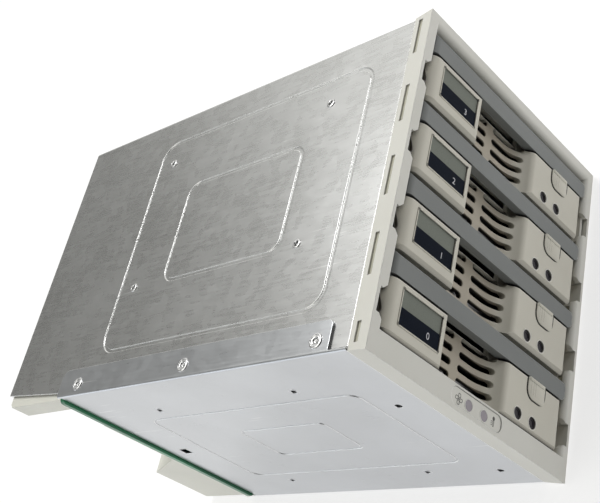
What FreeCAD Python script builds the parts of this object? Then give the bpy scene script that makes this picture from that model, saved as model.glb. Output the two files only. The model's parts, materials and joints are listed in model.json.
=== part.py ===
"""Hot swap drive cage: four sliding carriers, their levers and latches, and a rear fan.

The model is in millimetres.  X runs across the ports, Y from the front to the rear and Z up.
The origin is under the middle of the cage, at the height of the lowest rivet head.

Each carrier is drawn once in a frame of its own: x down its face from the top of the cage,
y inwards from its front, z across its bay.  A quarter turn about Y puts it in its bay.
"""
import FreeCAD, Part
import math
import os

import Sketcher

Vector = FreeCAD.Vector
Rotation = FreeCAD.Rotation

SIZES = (
    ("panel_depth", 221.2, "bezel front to the rear end of the long panels"),
    ("gauge", 1.2, "sheet of the shell"),
    ("fold_radius", 1.8, "outside of the shell's folds"),
    ("bead_depth", 0.36, "beads pressed into the shell"),
    ("bead_width", 1.6, "beads pressed into the shell"),
    ("bead_left", 18.5, "outer bead from the shell's left side"),
    ("bead_right", 15.56, "outer bead from the shell's right side"),
    ("bead_front", 25.0, "outer bead"),
    ("bead_rear", 157.0, "outer bead"),
    ("bead_corner", 9.5, "outer bead"),
    ("inner_bead_left", 48.5, "inner bead from the shell's left side"),
    ("inner_bead_right", 46.06, "inner bead from the shell's right side"),
    ("inner_bead_front", 55.5, "inner bead"),
    ("inner_bead_rear", 127.0, "inner bead"),
    ("inner_bead_corner", 7.0, "inner bead"),
    ("trim_length", 2.0, "slanted start of the shell's trimmed edges"),
    ("trim_inset", 4.2, "shell's trimmed edges at the rear"),
    ("plate_gauge", 1.0, "sheet of the side plate"),
    ("plate_bead_depth", 0.3, "beads pressed into the side plate"),
    ("plate_bead_width", 1.2, "beads pressed into the side plate"),
    ("plate_bead_front", 30.0, "outer bead of the side plate"),
    ("plate_bead_rear", 150.0, "outer bead of the side plate"),
    ("plate_bead_low", 25.6, "outer bead above the cage's foot"),
    ("plate_bead_high", 30.0, "outer bead below the cage's top"),
    ("plate_bead_corner", 6.0, "outer bead of the side plate"),
    ("plate_inner_front", 64.0, "inner bead of the side plate"),
    ("plate_inner_rear", 113.0, "inner bead of the side plate"),
    ("plate_inner_low", 46.6, "inner bead above the cage's foot"),
    ("plate_inner_high", 50.0, "inner bead below the cage's top"),
    ("plate_inner_corner", 4.0, "inner bead of the side plate"),
    ("pin_hole_radius", 1.5, "two small holes near the plate's front"),
    ("pin_hole_y", 20.5, "middle between the two small holes"),
    ("pin_hole_low", 14.6, "lower small hole"),
    ("pin_hole_high", 80.6, "upper small hole"),
    ("catch_hole", 5.0, "square hole near the plate's rear"),
    ("catch_hole_y", 164.0, "middle of the square hole"),
    ("catch_hole_height", 59.6, "middle of the square hole"),
    ("plate_fold", 1.4, "outside of the side plate's folds"),
    ("plate_depth", 175.2, "rear edge of the side plate"),
    ("fit_gap", 0.3, "between pieces that slide or drop in"),
    ("flange_front", 17.0, "front edge of the side plate's flanges"),
    ("flange_rear", 178.0, "rear edge of the side plate's flanges"),
    ("flange_width", 13.0, "lap of the flanges over the shell"),
    ("flange_front_corner", 2.5, "flanges"),
    ("flange_rear_corner", 4.0, "flanges"),
    ("flange_rivet_x", 5.33, "line of the flange rivets"),
    ("flange_rivet_y", 23.5, "first flange rivet"),
    ("flange_rivet_pitch", 70.5, "one flange rivet to the next"),
    ("rivet_head_height", 0.5, "above the sheet"),
    ("rivet_head_radius", 3.1, "flange rivets"),
    ("rivet_radius", 1.6, "shank of every rivet"),
    ("small_head_radius", 2.1, "rivets that hold the guides"),
    ("bezel_depth", 8.8, "front to rear of the bezel"),
    ("bezel_flare", 0.8, "front of the bezel beyond the shell"),
    ("bezel_wall", 1.5, "outer walls of the bezel"),
    ("bezel_skin", 2.5, "front skin of the bezel"),
    ("bezel_roll", 2.4, "rounded inner edges of the lower rail and the right strip"),
    ("tongue_inset", 24.0, "bezel's tongues inside the shell, from its sides"),
    ("tongue_width", 12.0, "bezel's tongues"),
    ("tongue_length", 9.0, "bezel's tongues inside the shell"),
    ("strip_width", 8.7, "status strip beside the first bay"),
    ("right_strip_width", 4.56, "strip beside the last bay"),
    ("rail_width", 4.0, "rail above the carriers"),
    ("lower_rail_width", 4.6, "rail below the carriers"),
    ("bay_pitch", 32.85, "one carrier to the next"),
    ("last_bay_gap", 1.4, "bezel opening beyond the last bay"),
    ("notch_start", 5.3, "start of the rail notch in a bay"),
    ("notch_width", 9.5, "rail notch"),
    ("notch_chamfer", 1.8, "corners of the rail tabs"),
    ("slit_length", 17.2, "moulding slits in the rails"),
    ("corner_slit", 2.7, "start of the short slit beside the first bay"),
    ("slit_width", 2.0, "moulding slits in the rails"),
    ("slit_start", 19.7, "start of a slit in a bay"),
    ("slit_y", 4.5, "front side of the slits"),
    ("light_radius", 2.3, "status lights"),
    ("light_play", 0.05, "round every light"),
    ("light_gap", 9.7, "between the status lights"),
    ("light_x", 4.0, "line of the status lights from the cage's side"),
    ("light_plate_reach", 16.0, "recessed plate round the lights, each way"),
    ("light_plate_side", 8.0, "recessed plate round the lights"),
    ("light_plate_corner", 3.0, "recessed plate round the lights"),
    ("light_plate_depth", 0.3, "recessed plate round the lights"),
    ("light_height", 62.0, "middle of the status lights"),
    ("board_front", 176.0, "front face of the backplane"),
    ("board_thick", 2.4, "backplane"),
    ("board_overhang", 1.2, "backplane beyond the shell's sides"),
    ("connector_depth", 8.0, "drive connectors in front of the backplane"),
    ("connector_width", 6.0, "drive connectors across the bay"),
    ("connector_height", 32.0, "drive connectors"),
    ("connector_x", 9.0, "middle of a drive connector in its bay"),
    ("socket_wall", 1.8, "walls of the connectors"),
    ("signal_x", 56.0, "middle of the signal connectors, left of the middle"),
    ("signal_width", 12.0, "signal connectors"),
    ("signal_height", 6.0, "signal connectors"),
    ("signal_depth", 8.0, "signal connectors behind the backplane"),
    ("signal_pitch", 9.0, "one signal connector to the next"),
    ("power_x", 54.2, "middle of the power connectors, right of the middle"),
    ("power_width", 8.4, "power connectors"),
    ("power_height", 17.0, "power connectors"),
    ("power_depth", 9.0, "power connectors behind the backplane"),
    ("power_pitch", 20.0, "one power connector to the next"),
    ("window_height", 38.0, "windows of the shroud's strip"),
    ("window_width", 16.0, "windows of the shroud's strip"),
    ("window_middle", 76.0, "middle of the windows' height"),
    ("air_slot_width", 16.0, "air slots of the backplane"),
    ("air_slot_height", 22.0, "air slots of the backplane"),
    ("air_slot_low", 24.0, "lower row of air slots"),
    ("air_slot_gap", 6.0, "upper row of air slots above the drive connectors"),
    ("air_slot_corner", 3.0, "air slots of the backplane"),
    ("guide_rib", 2.6, "ribs between the carriers"),
    ("guide_rib_height", 5.0, "ribs between the carriers"),
    ("rib_lead", 1.04, "chamfered front ends of the ribs"),
    ("guide_front", 24.0, "front end of the guides"),
    ("rail_screw_y", 46.5, "front screws of the guides"),
    ("rail_screw_span", 100.0, "front to rear screws of the guides"),
    ("rail_screw_x", 10.5, "middle of the guide screws, from the middle of the cage"),
    ("rail_screw_width", 67.0, "across the guide screws"),
    ("guide_bite", 1.8, "rivets into the guides"),
    ("boss_radius", 3.2, "screw bosses at the rear of the guides"),
    ("boss_length", 12.0, "screw bosses at the rear of the guides"),
    ("screw_bite", 9.0, "board screws into the bosses, holes"),
    ("screw_radius", 1.5, "small screws"),
    ("screw_head_radius", 2.8, "small screws"),
    ("screw_head_height", 1.6, "small screws"),
    ("mount_hole_radius", 1.25, "tapped holes in the sides"),
    ("mount_y", 54.4, "front mounting holes"),
    ("mount_span_y", 79.25, "front to rear mounting holes"),
    ("mount_span_z", 84.6, "lower to upper mounting holes"),
    ("mount_height", 59.6, "middle of the mounting holes"),
    ("face_front_skin", 2.2, "walls of the carrier face"),
    ("face_depth", 12.0, "carrier face, front to rear"),
    ("face_low", 0.7, "lower side of a carrier face in its bay"),
    ("face_gap", 0.65, "between a carrier face and the next bay"),
    ("lever_channel", 10.5, "carrier face beside its blocks, behind the lever"),
    ("block_roll", 5.5, "rolled upper end of the label block"),
    ("label_block_end", 39.0, "lower end of the label block"),
    ("recess_depth", 7.25, "grille behind the front"),
    ("scoop_rise", 52.2, "start of the scoop, from the foot of the light block"),
    ("scoop_radius", 16.8, "curve between the grille and the light block"),
    ("block_foot", 3.5, "carrier face below the light block"),
    ("scoop_brow", 4.0, "rounded edge between the scoop and the light block"),
    ("block_edge", 0.8, "rounded lower edge of the light block"),
    ("foot_thick", 3.0, "carrier face below the light block"),
    ("roll_wall", 7.2, "wall at the rolled end of the label block"),
    ("label_wall", 3.3, "wall behind the label"),
    ("bottom_bevel", 1.4, "bevel along the lower side of the blocks"),
    ("label_bevel", 1.3, "bevel across the lower end of the label block"),
    ("slot_height", 3.0, "grille slots"),
    ("slot_pitch", 5.35, "grille slots"),
    ("slot_middle", 13.6, "middle of the four slots in the bay"),
    ("slot_web", 4.3, "between the short and the long slots"),
    ("slot_start_gap", 3.0, "short slots beyond the label block"),
    ("slot_run_out", 10.9, "long slots into the scoop"),
    ("short_slot_share", 0.3636, "short slots' share of all the slots' length"),
    ("label_start", 12.5, "label window"),
    ("label_length", 23.0, "label window"),
    ("label_low", 6.1, "label window"),
    ("label_rim", 1.9, "upper side of the label block beside its window"),
    ("label_thick", 0.8, "label insert"),
    ("lamp_radius", 2.5, "carrier lights"),
    ("lamp_low", 5.0, "middle of the carrier lights in the bay"),
    ("lamp_rise", 28.3, "first carrier light, from the foot of the light block"),
    ("lamp_gap", 10.3, "between the carrier lights"),
    ("light_sink", 0.5, "carrier lights behind the face"),
    ("lever_gap", 1.05, "between the blocks and the lever"),
    ("lever_window_start", 0.8, "opening behind the lever, from the label block"),
    ("lever_window_end", 10.0, "opening behind the lever, into the scoop"),
    ("lever_window_low", 1.5, "opening behind the lever, from the blocks' upper side"),
    ("lever_bevel", 0.9, "long front edge of the lever"),
    ("lever_height", 8.45, "lever across the bay"),
    ("lever_thick", 4.0, "lever front to rear"),
    ("lever_short", 0.5, "lever short of the carrier face's end"),
    ("lever_skin", 1.8, "front wall of the lever"),
    ("lever_wall", 1.4, "side walls of the lever"),
    ("lever_rib", 1.6, "ribs behind the lever"),
    ("lever_tip", 1.1, "end wall of the lever"),
    ("lever_slope", 8.0, "from the hinge to the lever's full bar"),
    ("lever_pocket_start", 12.0, "from the hinge to the first pocket behind the lever"),
    ("lever_corner", 3.0, "free end of the lever"),
    ("knuckle_radius", 3.4, "hinge end of the lever"),
    ("pin_radius", 1.2, "hinge pin"),
    ("pin_bite", 8.0, "hinge pin in the label block"),
    ("pin_reach", 7.05, "hinge pin in the lever"),
    ("pin_play", 0.05, "pin in the lever"),
    ("latch_rise", 24.0, "latch, from the foot of the light block"),
    ("latch_length", 12.1, "latch"),
    ("latch_reach", 7.9, "latch, from the upper side of the light block"),
    ("latch_proud", 0.9, "latch in front of the face"),
    ("latch_lift", 0.1, "latch pad off the face"),
    ("latch_brim", 1.8, "latch pad beyond its stem"),
    ("latch_travel", 1.2, "latch"),
    ("latch_crown", 5.0, "upper latch corner away from the lever"),
    ("latch_corner", 2.5, "lower latch corner away from the lever"),
    ("latch_edge", 1.5, "latch corners beside the lever"),
    ("slider_lap", 1.5, "slider beyond the latch, each way"),
    ("slider_tail", 2.6, "slider beyond the latch, away from the lever"),
    ("slider_thick", 1.2, "slider behind the face"),
    ("tray_gauge", 1.4, "tray walls"),
    ("tray_rear", 160.0, "rear end of the tray"),
    ("drive_width", 101.6, "drive that the tray holds"),
    ("drive_clearance", 0.4, "each side of the drive"),
    ("upper_shelf", 6.8, "tray above the drive"),
    ("lower_shelf", 6.2, "tray below the drive"),
    ("shelf_level", 15.5, "tray shelves in the bay"),
    ("shelf_setback", 12.0, "tray shelves behind the carrier face"),
    ("front_lip", 8.0, "lip across the front of the tray"),
    ("vent_margin", 15.2, "vents of the tray floor, from its walls"),
    ("vent_start", 16.0, "first vent behind the carrier face"),
    ("vent_width", 12.0, "vents of the tray floor"),
    ("vent_corner", 5.0, "vents of the tray floor"),
    ("vent_span", 88.0, "first to last vent of the tray floor"),
    ("wall_height", 22.0, "tray walls above the tray floor"),
    ("drive_hole_rear", 28.5, "rear screw of a drive, ahead of its connector end"),
    ("drive_hole_span", 101.6, "front to rear screws of a drive"),
    ("drive_hole_height", 6.35, "drive screws above the tray floor"),
    ("drive_hole_radius", 1.8, "drive screws, clearance"),
    ("shroud_wall", 2.2, "fan shroud"),
    ("shroud_rear", 212.0, "rear face of the fan shroud"),
    ("shroud_inset", 0.3, "shroud inside the panels"),
    ("shroud_half", 45.0, "half width of the fan box"),
    ("arm_rear_height", 37.6, "lower arms at their rear end"),
    ("arm_front_height", 53.6, "lower arms at the board"),
    ("upper_arm_height", 11.0, "upper arms"),
    ("arm_inset", 1.2, "upper arms inside the rear ends of the panels"),
    ("arm_chamfer", 1.8, "rear corners of the upper arms"),
    ("strip_thick", 1.6, "shroud's strip on the board"),
    ("strip_rim", 1.6, "shroud's strip above its windows"),
    ("grille_bar", 2.2, "cross bars over the fan"),
    ("grille_ring", 2.0, "rings over the fan"),
    ("grille_radius", 9.96, "inner ring over the fan"),
    ("grille_step", 7.66, "one ring over the fan to the next"),
    ("screw_pad_rim", 1.4, "pads round the board screws' heads"),
    ("screw_pad_height", 3.0, "pads under the board screws' heads"),
    ("board_screw_grip", 6.0, "board screws in the bosses"),
    ("fan_size", 80.0, "fan"),
    ("fan_depth", 25.0, "fan"),
    ("fan_bore_wall", 1.7, "fan frame round its duct, at its thinnest"),
    ("fan_hole_inset", 4.25, "fan screws from the sides of the fan"),
    ("fan_corner", 4.0, "fan frame"),
    ("fan_plate", 4.0, "motor plate and arms of the fan frame"),
    ("fan_arm", 4.0, "arms of the fan frame"),
    ("fan_screw_radius", 2.05, "fan screws"),
    ("fan_head_radius", 3.4, "fan screws"),
    ("fan_screw_length", 14.0, "fan screws"),
    ("bearing_radius", 4.0, "bearing tube of the fan frame"),
    ("bearing_length", 7.0, "bearing tube of the fan frame"),
    ("hub_radius", 19.0, "fan rotor"),
    ("hub_wall", 1.8, "fan rotor"),
    ("hub_cap", 2.0, "front of the fan rotor"),
    ("hub_gap", 0.6, "between the rotor and the motor plate"),
    ("root_chord", 16.0, "blades at the hub"),
    ("tip_chord", 24.0, "blades at their tips"),
    ("blade_thick", 1.4, "fan rotor"),
    ("tip_gap", 1.9, "between the blades and the duct"),
    ("shaft_radius", 1.5, "fan rotor"),
    ("shaft_play", 0.05, "shaft in its bearing"),
)

doc = FreeCAD.newDocument("drive_cage")
sheet = doc.addObject("Spreadsheet::Sheet", "Sizes")
parts = []


class Size:
    """A length that carries its number and its formula in the sheet."""

    def __init__(self, number, text):
        self.number = number
        self.text = text

    def join(self, sign, other, number):
        return Size(number, "(%s %s %s)" % (self.text, sign, other.text))

    def __add__(self, other):
        other = size(other)
        return self.join("+", other, self.number + other.number)

    def __radd__(self, other):
        return size(other) + self

    def __sub__(self, other):
        other = size(other)
        return self.join("-", other, self.number - other.number)

    def __rsub__(self, other):
        return size(other) - self

    def __mul__(self, other):
        other = size(other)
        return self.join("*", other, self.number * other.number)

    def __rmul__(self, other):
        return size(other) * self

    def __truediv__(self, other):
        other = size(other)
        return self.join("/", other, self.number / other.number)

    def __neg__(self):
        return size(0) - self


def size(value):
    """A plain number or a Size, as a Size."""
    if isinstance(value, Size):
        return value
    return Size(float(value), "(%.6f)" % value)


class Named:
    """The driving sizes, each an attribute with its alias as its name."""


def fill_sheet():
    """Writes the driving sizes into the sheet and gives them back by name."""
    named = Named()
    for row, (alias, number, remark) in enumerate(SIZES, start=1):
        sheet.set("A%d" % row, alias)
        sheet.set("B%d" % row, "%.4f" % number)
        sheet.set("C%d" % row, remark)
        sheet.setAlias("B%d" % row, alias)
        setattr(named, alias, Size(number, "Sizes." + alias))
    doc.recompute()
    return named


s = fill_sheet()


def bind(target, name, value):
    """Binds one property of an object to a size."""
    target.setExpression(name, size(value).text)


# Places that several pieces share, in the cage's frame with y = 0 at the bezel's front.
bays = 4
opening_width = s.bay_pitch * bays + s.last_bay_gap
cage_width = s.strip_width + opening_width + s.right_strip_width
drive_space = s.drive_width + s.drive_clearance * 2
tray_span = s.upper_shelf + drive_space + s.lower_shelf
cage_height = s.rail_width + s.fit_gap + tray_span + s.fit_gap + s.lower_rail_width
half_width = cage_width / 2
bay_start = s.strip_width - half_width
opening_end = bay_start + opening_width
rail_low = s.lower_rail_width
rail_high = cage_height - s.rail_width
inner_low = s.gauge
inner_high = cage_height - s.gauge
board_rear = s.board_front + s.board_thick
middle_y = (s.panel_depth - s.latch_proud) / 2
lift = s.plate_gauge + s.rivet_head_height
mount_low = s.mount_height - s.mount_span_z / 2
mount_rear = s.mount_y + s.mount_span_y
shroud_low = inner_low + s.shroud_inset
shroud_high = inner_high - s.shroud_inset
fan_rear = s.shroud_rear - s.shroud_wall - 0.2
fan_front = fan_rear - s.fan_depth
fan_height = cage_height / 2
fan_bore = s.fan_size / 2 - s.fan_bore_wall
fan_hole_span = s.fan_size - s.fan_hole_inset * 2
blade_tip = fan_bore - s.tip_gap


class Arc:
    """A round side of an outline: it ends at (u, v) and turns about (cu, cv)."""

    def __init__(self, u, v, cu, cv, turns_left, follows):
        self.end = (size(u), size(v))
        self.centre = (size(cu), size(cv))
        self.turns_left = turns_left
        self.follows = follows


class Drawing:
    """A sketch on one of a body's own origin planes."""

    def __init__(self, piece, role, offset):
        self.sketch = piece.body.newObject("Sketcher::SketchObject", piece.name("Sketch"))
        plane = [f for f in piece.body.Origin.OriginFeatures if f.Role == role][0]
        self.sketch.AttachmentSupport = [(plane, "")]
        self.sketch.MapMode = "FlatFace"
        bind(self.sketch, "AttachmentOffset.Base.z", offset)

    def fix(self, kind, geometry, point, value):
        """Holds one coordinate of a point at a size."""
        index = self.sketch.addConstraint(
            Sketcher.Constraint(kind, -1, 1, geometry, point, size(value).number))
        self.sketch.setExpression("Constraints[%d]" % index, size(value).text)

    def measure(self, kind, geometry, value):
        """Gives one curve a radius."""
        index = self.sketch.addConstraint(
            Sketcher.Constraint(kind, geometry, size(value).number))
        self.sketch.setExpression("Constraints[%d]" % index, size(value).text)

    def outline(self, steps):
        """A closed outline through corners, each a pair of sizes or an Arc."""
        ends = [step.end if isinstance(step, Arc) else (size(step[0]), size(step[1]))
                for step in steps]
        pieces = []
        for i, (u, v) in enumerate(ends):
            step = steps[(i + 1) % len(steps)]
            nu, nv = ends[(i + 1) % len(ends)]
            here = Vector(u.number, v.number, 0)
            there = Vector(nu.number, nv.number, 0)
            if not isinstance(step, Arc):
                side = self.sketch.addGeometry(Part.LineSegment(here, there), False)
                pieces.append((side, 1, 2))
                continue
            centre = Vector(step.centre[0].number, step.centre[1].number, 0)
            first, last = (here, there) if step.turns_left else (there, here)
            start = math.atan2(first.y - centre.y, first.x - centre.x)
            stop = math.atan2(last.y - centre.y, last.x - centre.x)
            if stop <= start:
                stop += 2 * math.pi
            circle = Part.Circle(centre, Vector(0, 0, 1), here.sub(centre).Length)
            side = self.sketch.addGeometry(Part.ArcOfCircle(circle, start, stop), False)
            pieces.append((side, 1, 2) if step.turns_left else (side, 2, 1))
        for i, (side, start, stop) in enumerate(pieces):
            after = pieces[(i + 1) % len(pieces)]
            self.sketch.addConstraint(
                Sketcher.Constraint("Coincident", side, stop, after[0], after[1]))
        for i, (side, start, stop) in enumerate(pieces):
            step = steps[i]
            free = step.follows if isinstance(step, Arc) else ""
            if free != "u":
                self.fix("DistanceX", side, start, ends[i][0])
            if free != "v":
                self.fix("DistanceY", side, start, ends[i][1])
            after = steps[(i + 1) % len(steps)]
            if isinstance(after, Arc):
                self.fix("DistanceX", side, 3, after.centre[0])
                self.fix("DistanceY", side, 3, after.centre[1])
        return self

    def circle(self, u, v, radius):
        """A full circle."""
        centre = Vector(size(u).number, size(v).number, 0)
        ring = self.sketch.addGeometry(
            Part.Circle(centre, Vector(0, 0, 1), size(radius).number), False)
        self.fix("DistanceX", ring, 3, u)
        self.fix("DistanceY", ring, 3, v)
        self.measure("Radius", ring, radius)
        return self

    def rounded(self, low, high, radius):
        """A rectangle with round corners."""
        (u0, v0), (u1, v1), r = low, high, size(radius)
        return self.outline([
            (u1 - r, v0), Arc(u1, v0 + r, u1 - r, v0 + r, True, "u"),
            (u1, v1 - r), Arc(u1 - r, v1, u1 - r, v1 - r, True, "v"),
            (u0 + r, v1), Arc(u0, v1 - r, u0 + r, v1 - r, True, "u"),
            (u0, v0 + r), Arc(u0 + r, v0, u0 + r, v0 + r, True, "v")])

    def slot(self, start, end, middle, height):
        """A slot with half-round ends, along u."""
        r = size(height) / 2
        return self.outline([
            (end - r, middle - r), Arc(end - r, middle + r, end - r, middle, True, "v"),
            (start + r, middle + r), Arc(start + r, middle - r, start + r, middle, True, "v")])


class Piece:
    """One sub-part: a PartDesign body that is written to its own file."""

    def __init__(self, label, base=None, turned=False):
        self.body = doc.addObject("PartDesign::Body", label)
        self.body.Label = label
        self.count = 0
        if turned:
            self.body.Placement = FreeCAD.Placement(Vector(), Rotation(Vector(0, 1, 0), 90))
        for axis, value in zip("xyz", base or (0, -middle_y, lift)):
            bind(self.body, "Placement.Base." + axis, value)
        parts.append(self.body)

    def name(self, kind):
        """A fresh name for a feature of this piece."""
        self.count += 1
        return "%s_%s_%d" % (self.body.Name, kind, self.count)

    def draw(self, role, offset=0):
        """A new sketch, off one of the origin planes."""
        return Drawing(self, role, offset)

    def extrude(self, kind, drawing, length, flip, taper):
        """A pad or a pocket of a drawing."""
        feature = self.body.newObject("PartDesign::" + kind, self.name(kind))
        feature.Profile = drawing.sketch
        bind(feature, "Length", length)
        feature.Reversed = flip
        if taper is not None:
            bind(feature, "TaperAngle", taper)
        drawing.sketch.Visibility = False
        return feature

    def pad(self, drawing, length, flip=False, taper=None):
        """Adds a drawing's outline, along its normal or, flipped, against it."""
        return self.extrude("Pad", drawing, length, flip, taper)

    def pocket(self, drawing, length, flip=False):
        """Cuts a drawing's outline, against its normal or, flipped, along it."""
        before = self.volume()
        feature = self.extrude("Pocket", drawing, length, flip, None)
        if self.volume() > before - 1e-3:
            raise RuntimeError("%s cuts nothing" % feature.Name)
        return feature

    def volume(self):
        """The volume of the body as it stands."""
        doc.recompute()
        return self.body.Shape.Volume

    def box(self, low, high, cut=False):
        """A box between two corners, added or cut."""
        kind = "SubtractiveBox" if cut else "AdditiveBox"
        feature = self.body.newObject("PartDesign::" + kind, self.name(kind))
        for prop, axis, a, b in zip(("Length", "Width", "Height"), "xyz", low, high):
            bind(feature, prop, size(b) - a)
            bind(feature, "Placement.Base." + axis, a)
        return feature

    def rod(self, start, radius, length, axis, cut=False):
        """A cylinder from a point along +x, +y or +z, added or cut."""
        kind = "SubtractiveCylinder" if cut else "AdditiveCylinder"
        feature = self.body.newObject("PartDesign::" + kind, self.name(kind))
        turns = {"x": Rotation(Vector(0, 1, 0), 90), "y": Rotation(Vector(1, 0, 0), -90),
                 "z": Rotation()}
        feature.Placement = FreeCAD.Placement(Vector(), turns[axis])
        bind(feature, "Radius", radius)
        bind(feature, "Height", length)
        for name, value in zip("xyz", start):
            bind(feature, "Placement.Base." + name, value)
        return feature

    def repeat(self, features, drawing, direction, length, copies):
        """Repeats features in a row along an axis of a sketch."""
        pattern = self.body.newObject("PartDesign::LinearPattern", self.name("Row"))
        pattern.Originals = features
        pattern.Direction = (drawing.sketch, [direction])
        bind(pattern, "Length", length)
        pattern.Occurrences = copies
        self.body.Tip = pattern
        return pattern

    def edges(self, axis, **where):
        """The straight edges along an axis whose middle lies at the given places."""
        doc.recompute()
        shape = self.body.Tip.Shape
        names = []
        for number, edge in enumerate(shape.Edges, start=1):
            if edge.Curve.TypeId != "Part::GeomLine":
                continue
            along = edge.tangentAt(edge.FirstParameter)
            if abs(getattr(along, axis)) < 0.999:
                continue
            middle = edge.CenterOfMass
            if all(abs(getattr(middle, name) - size(value).number) < 0.02
                   for name, value in where.items()):
                names.append("Edge%d" % number)
        if not names:
            raise RuntimeError("%s has no edge there: %s %s" % (self.body.Label, axis, where))
        return names

    def dress(self, kind, prop, names, value):
        """A fillet or chamfer on named edges of the tip."""
        tip = self.body.Tip
        feature = self.body.newObject("PartDesign::" + kind, self.name(kind))
        feature.Base = (tip, names)
        bind(feature, prop, value)
        return feature

    def fillet(self, names, radius):
        """Rounds edges."""
        return self.dress("Fillet", "Radius", names, radius)

    def chamfer(self, names, width):
        """Bevels edges."""
        return self.dress("Chamfer", "Size", names, width)


def group(label, members, base=None, turned=False):
    """One node that holds solids made elsewhere, moved together."""
    node = doc.addObject("Part::Compound", label)
    node.Label = label
    node.Links = members
    if turned:
        node.Placement = FreeCAD.Placement(Vector(), Rotation(Vector(0, 1, 0), 90))
    for axis, value in zip("xyz", base or (0, -middle_y, lift)):
        bind(node, "Placement.Base." + axis, value)
    parts.append(node)
    return node


def rod(name, start, radius, length, axis, back=False):
    """A plain cylinder from a point along an axis or, with back, against it."""
    turns = {"x": Rotation(Vector(0, 1, 0), 90), "y": Rotation(Vector(1, 0, 0), -90),
             "z": Rotation()}
    node = doc.addObject("Part::Cylinder", name)
    node.Placement = FreeCAD.Placement(Vector(), turns[axis])
    bind(node, "Radius", radius)
    bind(node, "Height", length)
    for letter, value in zip("xyz", start):
        value = size(value) - length if back and letter == axis else value
        bind(node, "Placement.Base." + letter, value)
    return node


def block(name, low, high):
    """A plain box between two corners."""
    node = doc.addObject("Part::Box", name)
    for prop, axis, a, b in zip(("Length", "Width", "Height"), "xyz", low, high):
        bind(node, prop, size(b) - a)
        bind(node, "Placement.Base." + axis, a)
    return node


def joined(name, members):
    """Plain solids made into one."""
    node = doc.addObject("Part::MultiFuse", name)
    node.Shapes = members
    return node


def headed(name, start, axis, outwards, head, head_height, shank, length):
    """A rivet or screw: a head that stands on a face and a shank that goes into it."""
    cap = rod(name + "_head", start, head, head_height, axis, back=not outwards)
    stem = rod(name + "_shank", start, shank, length, axis, back=outwards)
    return joined(name, [cap, stem])


# ---------------------------------------------------------------- the sheet metal

def make_cage_shell():
    """Top, right side and bottom, folded from one sheet."""
    piece = Piece("cage_shell")
    left = s.plate_fold + s.fit_gap - half_width
    profile = piece.draw("XZ_Plane", -s.bezel_depth).outline([
        (left, 0), (half_width, 0), (half_width, cage_height), (left, cage_height),
        (left, inner_high), (half_width - s.gauge, inner_high),
        (half_width - s.gauge, inner_low), (left, inner_low)])
    piece.pad(profile, s.panel_depth - s.bezel_depth, flip=True)
    outer = piece.edges("y", x=half_width)
    piece.fillet(outer, s.fold_radius)
    inner = piece.edges("y", x=half_width - s.gauge)
    piece.fillet(inner, s.fold_radius - s.gauge)
    piece.box((half_width - 3 * s.gauge, s.board_front - s.fit_gap, inner_low),
              (half_width + 1, s.panel_depth + 1, inner_high), cut=True)
    trimmed = piece.draw("XY_Plane", -1).outline([
        (-half_width - 1, s.flange_rear + s.fit_gap), (left, s.flange_rear + s.fit_gap),
        (left + s.gauge, s.flange_rear + s.trim_length),
        (left + s.trim_inset, s.panel_depth + 1), (-half_width - 1, s.panel_depth + 1)])
    piece.pocket(trimmed, cage_height + 2, flip=True)
    outer = ((s.bead_left - half_width, s.bead_front), (half_width - s.bead_right, s.bead_rear),
             s.bead_corner)
    inner = ((s.inner_bead_left - half_width, s.inner_bead_front),
             (half_width - s.inner_bead_right, s.inner_bead_rear), s.inner_bead_corner)
    for height, flip in ((cage_height, False), (0, True)):
        for low, high, corner in (outer, inner):
            bead(piece, "XY_Plane", height, low, high, corner, s.bead_width, s.bead_depth, flip)
    holes = piece.draw("XY_Plane", -1)
    for x, y in guide_screws():
        holes.circle(x, y, s.rivet_radius)
    for x, y in flange_rivets():
        holes.circle(x, y, s.rivet_radius)
    piece.pocket(holes, cage_height + 2, flip=True)
    mounting_holes(piece, half_width - 3, 6)


def bead(piece, plane, level, low, high, corner, width, depth, flip):
    """A shallow bead pressed into a panel, round a rectangle with round corners."""
    ring = piece.draw(plane, level)
    ring.rounded(low, high, corner)
    ring.rounded((low[0] + width, low[1] + width), (high[0] - width, high[1] - width),
                 corner - width)
    piece.pocket(ring, depth, flip=flip)


def guide_screws():
    """Where the guides are riveted to the panels."""
    for side in (-1, 1):
        for row in (0, 1):
            yield (s.rail_screw_x + side * s.rail_screw_width / 2,
                   s.rail_screw_y + row * s.rail_screw_span)


def flange_rivets():
    """Where the side plate's flanges are riveted to the panels."""
    for i in range(3):
        yield s.flange_rivet_x - half_width, s.flange_rivet_y + s.flange_rivet_pitch * i


def mounting_holes(piece, start, length):
    """The four tapped holes of a side."""
    holes = piece.draw("YZ_Plane", start)
    for y in (s.mount_y, mount_rear):
        for z in (mount_low, mount_low + s.mount_span_z):
            holes.circle(y, z, s.mount_hole_radius)
    piece.pocket(holes, length, flip=True)


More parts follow.
